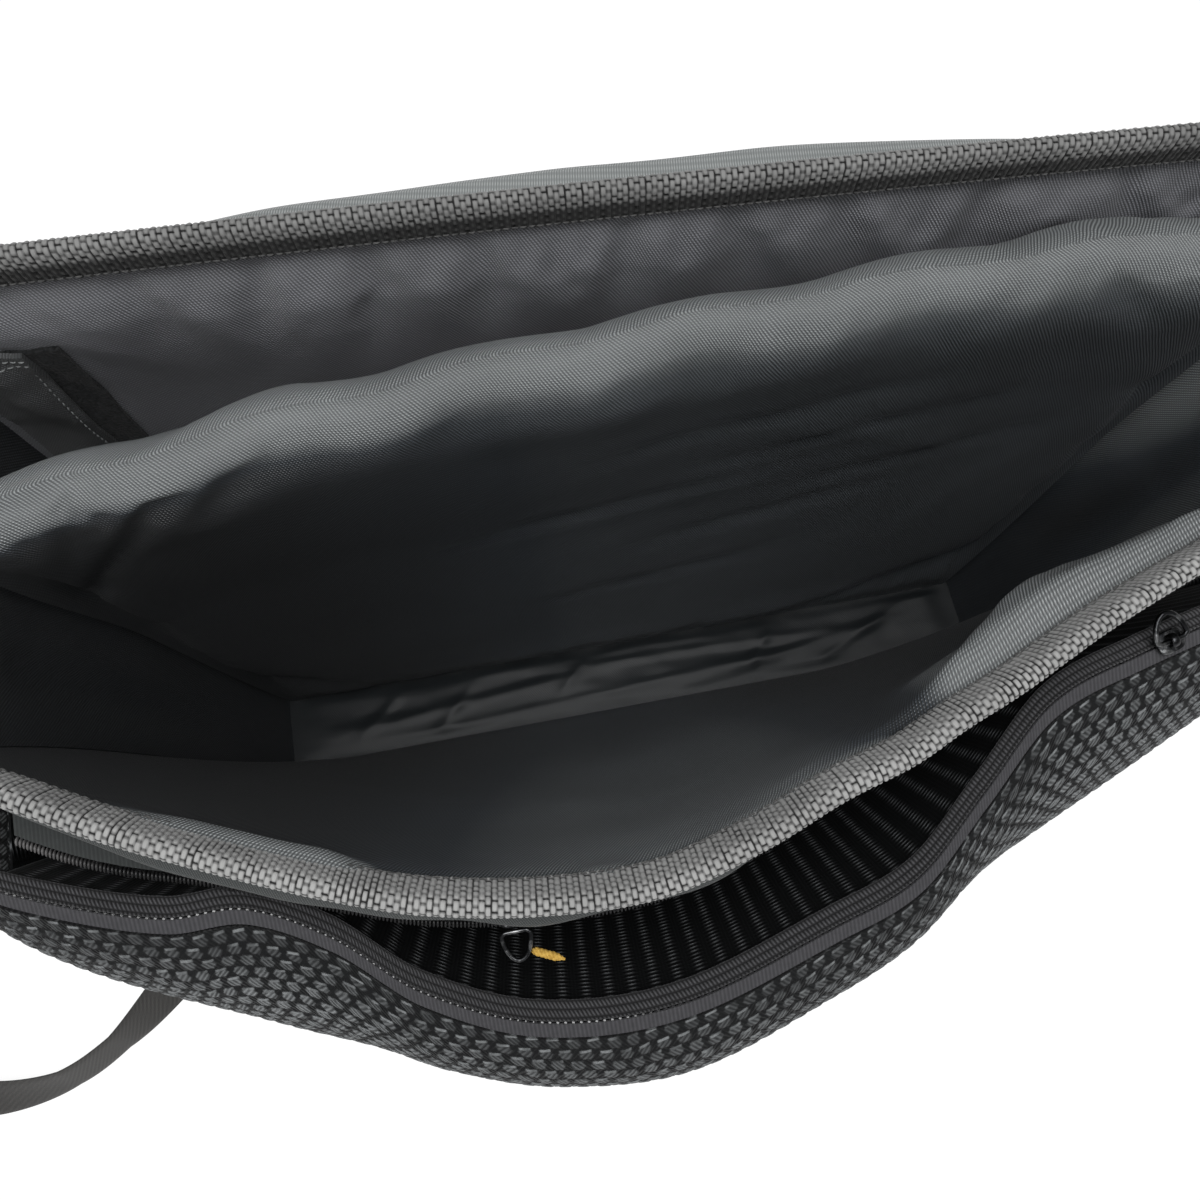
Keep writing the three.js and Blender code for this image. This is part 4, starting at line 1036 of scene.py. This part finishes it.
def base_top(a, b):
    x, y = a * BASE_X, b * BASE_Y
    room = between(y, -40, -34, -12, -7) + 0.3 * between(y, 8, 14, 26, 30)
    room *= 1 - smooth(np.abs(x), 160, 176)
    ripple = 0.9 * facets(x / 30 + y / 40, y / 9 - x / 60, 41)
    ripple += 0.35 * facets(x / 13 - y / 17, y / 8 + x / 25, 42)
    lines = 0.8 * creases(x, y, FLOOR_CREASES)
    return BASE_TOP / 2 + np.maximum(ripple + lines + 0.9, 0) * room


BASE_AS = np.concatenate([[-1, -0.9985, -0.994], np.linspace(-0.985, 0.985, 211), [0.994, 0.9985, 1]])
near, far = thick(BASE_AS, np.linspace(-1, 1, 77), base_point, base_top, BASE_TOP / 2)
dress(closed_sheet("base_cloth", near, far, GLOSSY), "shell", "bottom_panel")


# Webbing folded over the rims, its yarns standing in rows
COLUMN, KNUCKLE, YARN_RISE, UNDER = 1.75, 2.9, 0.7, 0.6
FOLD_POINTS, UNDER_STEP = 43, 7


def yarn_relief(s, t, seed):
    """Round yarns across the band, broken into knuckles that are laid like bricks."""
    place = (s + 0.22 * noise(s, t, 11, seed)) / COLUMN
    row = np.floor(place)
    along = 2 * (place - row) - 1
    across = 2 * ((t / KNUCKLE + 0.5 * (row % 2) + 0.06 * noise(row * 7, t * 0, 5, seed + 1)) % 1) - 1
    return np.clip(1 - np.abs(along) ** 2.4, 0, 1) ** 0.55 * np.clip(1 - np.abs(across) ** 3.5, 0, 1) ** 0.7


def bound_rim(name, wall, stations, material, node, low_share=1.0):
    """Webbing over the rim of a wall; its lower part may be darker, as painted shade."""
    dense = np.linspace(0, len(FOLD) - 1, FOLD_POINTS)
    fold = np.stack([np.interp(dense, np.arange(len(FOLD)), FOLD[:, k]) for k in range(2)], axis=-1)
    kernel = np.array([1, 4, 6, 4, 1]) / 16
    padded_fold = np.concatenate([fold[:1]] * 2 + [fold] + [fold[-1:]] * 2)
    fold = np.stack([np.convolve(padded_fold[:, k], kernel, "valid") for k in range(2)], axis=-1)
    us = np.linspace(-1, 1, stations)
    u, k = grid_of(us, np.arange(len(fold)))
    off, along = fold[k, 0], fold[k, 1]
    pace = frame_of(wall, u, 1 + 0 * u)[3]
    point, normal, up, _ = frame_of(wall, u, 1 + np.minimum(along, 0) / pace)
    mid = point + normal * off[..., None] + up * np.maximum(along, 0)[..., None]
    out = normals(mid)
    s, t = lengths(mid)
    rise = yarn_relief(s, t, 51)
    outer = mid + out * (0.1 + YARN_RISE * rise)[..., None]
    inner = mid - out * UNDER
    # Painted shade: the lower part's yarn darker by low_share
    lit = rise * mix(low_share, 1, smooth(t, 5.5, 9))
    rings = np.concatenate([outer, inner[:, ::-UNDER_STEP]], axis=1)
    cloth = np.concatenate([stack(s, t, lit), stack(s, t, 0)[:, ::-UNDER_STEP]], axis=1)
    dress(make(name, *skin(rings), cloth.reshape(-1, 3), material), "webbing", node)


bound_rim("front_rim_binding", front_wall, 1121, BINDING, "front_binding")
# The back binding has its lower part darker as painted shade
bound_rim("back_rim_binding", back_wall, 941, SHADED_BINDING, "back_binding", 0.4)

# Mesh pocket
MESH_VS = np.concatenate([np.linspace(0, 0.6, 19)[:-1], np.linspace(0.6, 1, 92)])
MESH_ES = np.concatenate([
    [-1, -0.9996, -0.9965, -0.985], np.linspace(-0.97, 0.97, 322), [0.985, 0.9965, 0.9996, 1]])


def pad_relief(s, t):
    """Staggered pads of the spacer mesh."""
    row = np.floor(t / CELL_ROW)
    along = (s / CELL + 0.5 * (row % 2)) % 1 - 0.5
    across = (t / CELL_ROW) % 1 - 0.5
    reach = np.maximum(np.abs(along) * 1.15 + np.abs(across) * 0.55, np.abs(across) * 1.05)
    return 1 - smooth(reach, 0.3, 0.56)


e_grid, v_grid = grid_of(MESH_ES, MESH_VS)
mesh_points = mesh_mid(e_grid, v_grid)
mesh_s, mesh_t = lengths(mesh_points)
mesh_t = mesh_t[:, -1:] - mesh_t
mesh_s, mesh_t = mesh_s + 0.9 * noise(mesh_s, mesh_t, 13, 61), mesh_t + 0.9 * noise(mesh_s, mesh_t, 12, 62)
mesh_rise = pad_relief(mesh_s, mesh_t)
thin = mix(MESH_HALF, MESH_EDGE_HALF, smooth(v_grid, 0.9, 1))
proud = 0.45 * mesh_rise * between(v_grid, 0.6, 0.68, 0.985, 1)
near, far = thick(MESH_ES, MESH_VS, mesh_mid, thin + proud, thin, FLOOR)
mesh_cloth = np.stack([mesh_s, mesh_t, mesh_rise], axis=-1)
pocket = closed_sheet("pocket_mesh_cloth", near, far, MESH, cloth=mesh_cloth)
dress(pocket, "air_mesh", "pocket_mesh")
cut_cloth(pocket, 2 * HALF_BOTTOM, 2 * POCKET_HALF + MESH_SPARE, MESH_LENGTH, "gathered")

near, far = thick(np.linspace(-1, 1, 181), np.linspace(0, 1, 41), backing_mid, KNIT_HALF, KNIT_HALF, FLOOR)
backing = dress(closed_sheet("pocket_knit", near, far, KNIT), "knit", "pocket_backing")
cut_cloth(backing, 2 * HALF_BOTTOM, 2 * HALF_TOP + KNIT_SPARE, KNIT_LENGTH, "gathered")


# Zip of the mesh pocket
def tape(name, start, end, cords, node):
    """A zip tape, with round cords along it if it is the rear one."""
    es = np.linspace(-ZIP_END, ZIP_END, 361)
    ws = np.linspace(start, end, 21 if cords else 9)
    _, w = grid_of(es, ws)
    place = np.abs(w) - SLIT_HALF
    rise = np.abs(np.sin(np.pi * (place - 0.9) / 2.6)) * cords
    off = TAPE_HALF + 0.5 * (rise - 0.4) * cords
    flip = thick(es, ws, zip_point, TAPE_HALF, TAPE_HALF)
    upward = (flip[0] - flip[1])[..., 2].mean() > 0
    near, far = thick(es, ws, zip_point, off if upward else TAPE_HALF, TAPE_HALF if upward else off)
    dress(closed_sheet(name, near, far, CORD_TAPE if cords else TAPE, rise), "zip_tape", node)


tape("front_zip_tape", SLIT_HALF, SLIT_HALF + FRONT_TAPE, 0, "pocket_zip_front_tape")
tape("rear_zip_tape", -SLIT_HALF, -SLIT_HALF - REAR_TAPE, 1, "pocket_zip_rear_tape")


def coil(name, run, across, pitch, radius, material, node):
    """A spiral zip coil as a row of bowed bars."""
    turn = np.linspace(-0.5, 0.5, 7)[:, None]
    bow = (np.cos(turn * np.pi) - 0.6) * radius * 0.9
    taper = np.array([0.5, 0.9, 1, 1, 1, 0.9, 0.5])
    step = np.linalg.norm(np.diff(run, axis=0), axis=1)
    place = np.concatenate([[0], np.cumsum(step)])
    count = int(place[-1] / pitch)
    parts = []
    for k in range(count):
        at = (k + 0.5) * pitch
        i = np.searchsorted(place, at) - 1
        share = (at - place[i]) / step[i]
        point = mix(run[i], run[i + 1], share)
        along = unit(run[i + 1] - run[i])
        side = unit(mix(across[i], across[i + 1], share))
        lift = np.cross(along, side)
        path = point + side * (turn * 2.2 * radius) + lift * bow + along * (turn * 0.35 * pitch)
        parts.append(narrowed(tube(path, pitch * 0.36, 7), path, taper))
    dress(merged(name, parts, material), "zip_coil", node)


zip_es = np.linspace(-ZIP_END, ZIP_END, 400)
run = zip_point(zip_es, 0 * zip_es, COIL_BELOW)
side = zip_point(zip_es, 0 * zip_es - 1.0) - zip_point(zip_es, 0 * zip_es + 1.0)
coil("pocket_coil", run, side, COIL_PITCH, COIL_RADIUS, COIL, "pocket_zip_coil")

rim_us = np.linspace(-RIM_ZIP_END, RIM_ZIP_END, 400)
near, far = thick(
    np.linspace(-RIM_ZIP_END, RIM_ZIP_END, 481), np.linspace(0, 1, 9), rim_zip_point, TAPE_HALF, TAPE_HALF)
dress(closed_sheet("rim_tape_cloth", near, far, SHADED_RIM_TAPE), "zip_tape", "rim_zip_tape")
run = rim_zip_point(rim_us, 1 + 0 * rim_us) + np.array([0, -RIM_COIL_RADIUS - GAP, 0])
side = np.broadcast_to(np.array([0.0, 1.0, 0.0]), run.shape)
coil("rim_coil", run, side, RIM_COIL_PITCH, RIM_COIL_RADIUS, RIM_COIL, "rim_zip_coil")


# Shoulder strap
def curve_slope(a, b, c, before, after):
    """Slope at the middle one of three points, from the steps before and after it."""
    return (b - a) / before - (c - a) / (before + after) + (c - b) / after


def catmull(points, count):
    """Centripetal curve through points, a fixed number of steps between each two."""
    first, last = 2 * points[0] - points[1], 2 * points[-1] - points[-2]
    p = np.concatenate([[first], points, [last]])
    step = np.maximum(np.linalg.norm(np.diff(p, axis=0), axis=1) ** 0.5, 1e-4)
    t = np.arange(count)[:, None] / count
    out = []
    for i in range(1, len(p) - 2):
        slope_a, slope_b = (
            curve_slope(*p[k - 1:k + 2], step[k - 1], step[k]) * step[i] for k in (i, i + 1))
        out.append(hermite(t, p[i], slope_a, p[i + 1], slope_b))
    return np.concatenate(out + [points[-1:]])


STRAP_STEPS = 24
strap_mid = catmull(STRAP[:, :3], STRAP_STEPS)
strap_at = np.arange(len(strap_mid)) / STRAP_STEPS
strap_tilt = np.radians(np.interp(strap_at, np.arange(len(STRAP)), STRAP[:, 3]))
ahead = unit(np.gradient(strap_mid, axis=0))
first_half = strap_at < len(STRAP) / 2
hang = ahead[:, 2:] ** 2
level = unit(stack(-ahead[:, 1], ahead[:, 0], 0))
wall_side = stack(0, np.where(first_half, -1.0, 1.0), 0)
lie = level * (1 - hang) + wall_side * hang
lie = unit(lie - ahead * (lie * ahead).sum(-1, keepdims=True))
rise = unit(np.cross(ahead, lie))
width = lie * np.cos(strap_tilt)[:, None] + rise * np.sin(strap_tilt)[:, None]
STRAP_ACROSS = np.linspace(-1, 1, 15)
grid = strap_mid[:, None] + width[:, None] * (STRAP_ACROSS * STRAP_WIDTH / 2)[None, :, None]
up = normals(grid)
strap_s, strap_t = lengths(grid)
ribbed = 0.5 + 0.5 * np.cos(2 * np.pi * (strap_s + np.abs(strap_t - STRAP_WIDTH / 2) * 0.8) / STRAP_RIB)
edge_round = np.sqrt(np.clip(1 - np.abs(STRAP_ACROSS) ** 8, 0.15, 1))[None, :]
stand = STRAP_HALF * edge_round
near, far = grid + up * stand[..., None], grid - up * stand[..., None]
for face in (near, far):
    face[..., 2] = np.maximum(face[..., 2], 0)
dress(closed_sheet("strap_band", near, far, STRAP_LOOK, ribbed), "webbing", "shoulder_strap")


# Velvet strip and tab on the back wall
def on_pad(u, v, stand):
    """A place on the back lining, lifted off it, and the way out of it."""
    point, normal, _, _ = frame_of(back_wall, u, v)
    swollen = EDGE_HALF + BACK_PAD * pad_shape(v)
    return point + normal * (np.maximum(back_inner(u, v), swollen) + stand)[..., None], normal


def patch(name, spec, stand, material, slot, node, bumps):
    """A strip laid on the back lining."""
    low_u, high_u, low_v, high_v, half = spec
    near, far = thick(
        np.linspace(low_u, high_u, 31), np.linspace(low_v, high_v, 91),
        lambda u, v: on_pad(u, v, stand + half + GAP)[0],
        lambda u, v: half + bumps(u * HALF_TOP, v * BACK_HEIGHT), half)
    piece = dress(closed_sheet(name, near, far, material), slot, node)
    width = (high_u - low_u) * HALF_TOP
    cut_cloth(piece, width, width, (high_v - low_v) * BACK_HEIGHT, "laid")


def velvet_bumps(x, up):
    return 0.25 * noise(x, up, 2.5, 71)


def tab_bumps(x, up):
    bumps = 0.5 * noise(x * 0.4, up, 7, 73) + 0.5 * noise(x, up, 13, 74)
    return bumps * smooth(BACK_HEIGHT * TAB[3] - up, 1, 8)


# Places on the back wall: shares of its half length, shares of its height, half thickness
VELVET_STRIP = (-0.93, -0.8, 0.5, 0.885, 0.8)
TAB = (-0.95, -0.845, 0.5, 0.89, 0.9)
TAB_STAND = 1.9
patch("velvet_strip", VELVET_STRIP, 0, VELVET, "velvet", "loop_strip", velvet_bumps)
patch("cloth_tab", TAB, TAB_STAND, TAB_CLOTH, "shell", "hold_tab", tab_bumps)


# Stitch rows along the bindings and the tab
STITCH_PITCH, STITCH_BELOW = 2.6, 9.3


def rim_stitches(name, wall, sign):
    us = np.arange(-0.985, 0.985, STITCH_PITCH / HALF_TOP)
    pace = frame_of(wall, us, 1 + 0 * us)[3]
    half = 0.36 * STITCH_PITCH / HALF_TOP
    a, normal, _, _ = frame_of(wall, us - half, 1 - STITCH_BELOW / pace)
    b = frame_of(wall, us + half, 1 - STITCH_BELOW / pace)[0]
    out = sign * normal
    stitches(name, a + out * STITCH_OFF, b + out * STITCH_OFF, out, THREAD, "webbing")


rim_stitches("front_binding_stitches", front_wall, -1)
rim_stitches("back_binding_stitches", back_wall, 1)


def tab_stitches():
    """Two rows along the tab's top and one down its inner side."""
    rows = []
    for down in (2.2, 5.0):
        us = np.arange(TAB[0] + 0.012, TAB[1] - 0.006, 2.4 / HALF_TOP)
        rows.append((us, TAB[3] - down / BACK_HEIGHT + 0 * us, 0.85 / HALF_TOP, 0))
    vs = np.arange(TAB[2] + 0.02, TAB[3] - 0.02, STITCH_PITCH / BACK_HEIGHT)
    rows.append((TAB[1] - 2.0 / HALF_TOP + 0 * vs, vs, 0, 0.9 / BACK_HEIGHT))
    u, v, du, dv = (np.concatenate([np.broadcast_to(row[k], row[0].shape) for row in rows]) for k in range(4))
    stand = TAB_STAND + 2 * TAB[4] + GAP + 0.25
    (a, normal), (b, _) = on_pad(u - du, v - dv, stand), on_pad(u + du, v + dv, stand)
    stitches("tab_stitches", a, b, normal, PALE_THREAD, "shell")


tab_stitches()


# Hardware
def basis(along, off):
    x = unit(along)
    y = unit(np.cross(off, x))
    return np.array([x, y, np.cross(x, y)])


def wire(width, height, radius):
    """Rings of a wire bent to a D, its straight side on X."""
    half, corner, sides = width / 2, 1.2, 12
    curve = [(half * math.cos(a), 0, height * math.sin(a)) for a in np.linspace(0.1, np.pi - 0.1, 33)]
    bar = [(x, 0, 0) for x in np.linspace(-half + corner, half - corner, 9)]
    loop = np.array(curve + bar, float)
    out = np.array([0.0, 1.0, 0.0])
    side = np.cross(unit(np.roll(loop, -1, 0) - np.roll(loop, 1, 0)), out)
    turn = turns(sides)[None, :, None]
    return loop[:, None] + radius * (np.cos(turn) * side[:, None] + np.sin(turn) * out)


def leaned(rings, degrees):
    """Rings turned about X."""
    c, s = math.cos(math.radians(degrees)), math.sin(math.radians(degrees))
    return rings @ np.array([[1, 0, 0], [0, c, -s], [0, s, c]]).T


def ring_mesh(name, rings, material):
    """A closed ring of wire."""
    points, faces = skin(rings, joined=True)
    return make(name, points, faces, points, material)


# Sizes of the hardware; blocks are length, width and height, wires are width, height and radius
ZIP_STEP, PULL_LEAN, RING_LEAN = 0.02, -62, 115
PLATE, ARCH, HINGE_RISE = 1.4, 1.8, 1.6
PULL_WIRE, PLATE_SIZE, RIM_SLIDER, RIM_RING = (10.5, 9, 0.85), (9, 7, PLATE), (9, 6, 3), (9, 9, 0.7)
BLOCK_ROUND, BLOCK_SIDES, ARCH_FOOT, ARCH_RADIUS, ARCH_FLAT = 3.5, 40, -2.2, 1.3, 0.38
TIP_FROM_RING = np.array([8.6, -8.2, -4.1])
slider_e = np.array(SLIDER_AT)
zip_along = zip_point(slider_e + ZIP_STEP, np.array(0.0)) - zip_point(slider_e - ZIP_STEP, np.array(0.0))
tilt = math.radians((FRONT_FALL - REAR_FALL) / 2)
zip_off = np.array([0, -math.sin(tilt), math.cos(tilt)])
hinge = zip_point(slider_e, np.array(0.0)) + zip_off * (TAPE_HALF + 2 * GAP + PLATE + HINGE_RISE)
pull = leaned(wire(*PULL_WIRE), PULL_LEAN) @ basis(zip_along, np.array([0.0, 0.0, 1.0])) + hinge
dress(ring_mesh("zip_pull_wire", pull, METAL), "dark_metal", "pocket_zip_pull", body="zip_pull")


def rounded_block(length, wide, tall):
    """Rings of a rounded bar standing on Z, with eased top and bottom edges."""
    turn = turns(BLOCK_SIDES)
    c, s = (np.sign(k) * np.abs(k) ** (2 / BLOCK_ROUND) for k in (np.cos(turn), np.sin(turn)))
    rings = []
    for z, inset in ((0, 0.45), (0.12, 0.12), (0.35, 0), (tall - 0.35, 0), (tall - 0.12, 0.12), (tall, 0.45)):
        rings.append(stack(c * (length / 2 - inset), s * (wide / 2 - inset), z))
    return np.array(rings)


plate = rounded_block(*PLATE_SIZE) + np.array([0, 0, -PLATE - HINGE_RISE])
arch_turn = np.linspace(0, np.pi, 13)
arch_path = stack(0, ARCH * np.cos(arch_turn), ARCH * np.sin(arch_turn))
arch_path = np.concatenate([[[0, ARCH, ARCH_FOOT]], arch_path, [[0, -ARCH, ARCH_FOOT]]])
arch = tube(arch_path, ARCH_RADIUS, 12, ARCH_FLAT)
slider = [rings @ basis(zip_along, zip_off) + hinge for rings in (plate, arch)]
dress(merged("zip_slider_body", slider, METAL), "dark_metal", "pocket_zip_slider")

rim_edge = rim_zip_point(np.array(RIM_SLIDER_AT), 1.0)
slider_at = rim_edge + np.array([0, 0, -RIM_COIL_RADIUS - GAP - RIM_SLIDER[2]])
rim_slider = [rounded_block(*RIM_SLIDER) + slider_at]
dress(merged("rim_slider_body", rim_slider, METAL), "dark_metal", "rim_zip_slider")
ring_at = slider_at + np.array([0, -RIM_SLIDER[1] / 2 - RIM_RING[2] - 2 * GAP, RIM_SLIDER[2] / 2])
ring = leaned(wire(*RIM_RING), RING_LEAN) + ring_at
dress(ring_mesh("rim_ring_wire", ring, METAL), "dark_metal", "rim_zip_ring")

# Yellow end of plied thread
TIP_LENGTH, TIP_PLIES, PLY_RADIUS, PLY_OFF, PLY_TWIST = 10, 3, 0.75, 0.62, 16
tip_turn = math.radians(-25)
tip_axis = np.array([math.cos(tip_turn), math.sin(tip_turn), 0])
tip_side = np.array([-tip_axis[1], tip_axis[0], 0])
share = np.linspace(-0.5, 0.5, 33)
centre = ring_at + TIP_FROM_RING + share[:, None] * TIP_LENGTH * tip_axis
taper = mix(1, 0.35, smooth(share, 0.2, 0.5)) * mix(0.6, 1, smooth(share, -0.5, -0.4))
plies = []
for k in range(TIP_PLIES):
    phase = (2 * np.pi * k / TIP_PLIES + share * PLY_TWIST)[:, None]
    path = centre + PLY_OFF * (np.cos(phase) * tip_side + np.sin(phase) * np.array([0, 0, 1]))
    plies.append(narrowed(tube(path, PLY_RADIUS, 9), centre, taper))
dress(merged("yellow_plied_end", plies, YELLOW), "yellow_cord", "rim_zip_tip")


# Stage
GROUND_HALF, GROUND_DROP, GROUND_GLOW = 6, 0.0005, 0.9
LAMP_AT, LAMP_AIM, LAMP_SIZE, LAMP_POWER = Vector((-0.1, -0.35, 1.6)), Vector((0, -0.05, 0.2)), 1.0, 22


def set_stage():
    ground = bpy.data.meshes.new("ground")
    square = ((-1, -1), (1, -1), (1, 1), (-1, 1))
    corners = [(x * GROUND_HALF, y * GROUND_HALF, -GROUND_DROP) for x, y in square]
    ground.from_pydata(corners, [], [(0, 1, 2, 3)])
    look = Shader("pale_ground", 0.9, 0.0)
    look.base.inputs["Base Color"].default_value = (0.2, 0.2, 0.2, 1)
    look.base.inputs["Emission Color"].default_value = (1, 1, 1, 1)
    look.base.inputs["Emission Strength"].default_value = GROUND_GLOW
    ground.materials.append(look.material)
    floor = bpy.data.objects.new("ground", ground)
    bpy.context.scene.collection.objects.link(floor)
    scene = bpy.context.scene
    scene.view_settings.view_transform = "Standard"
    scene.world = bpy.data.worlds.new("studio")
    scene.world.use_nodes = True
    tree = scene.world.node_tree
    split = tree.nodes.new("ShaderNodeSeparateXYZ")
    tree.links.new(tree.nodes.new("ShaderNodeTexCoord").outputs["Generated"], split.inputs[0])
    fall = tree.nodes.new("ShaderNodeMapRange")
    for socket, number in zip(fall.inputs[1:], (0.05, 0.3, 0.95, 0.2)):
        socket.default_value = number
    tree.links.new(split.outputs[2], fall.inputs[0])
    tree.links.new(fall.outputs[0], tree.nodes["Background"].inputs["Strength"])
    tree.nodes["Background"].inputs["Color"].default_value = (1, 1, 1, 1)
    light = bpy.data.lights.new("top", "AREA")
    light.energy = LAMP_POWER
    light.size = LAMP_SIZE
    lamp = bpy.data.objects.new("top", light)
    lamp.location = LAMP_AT
    lamp.rotation_mode = "QUATERNION"
    lamp.rotation_quaternion = (LAMP_AIM - LAMP_AT).to_track_quat("-Z", "Y")
    scene.collection.objects.link(lamp)


set_stage()
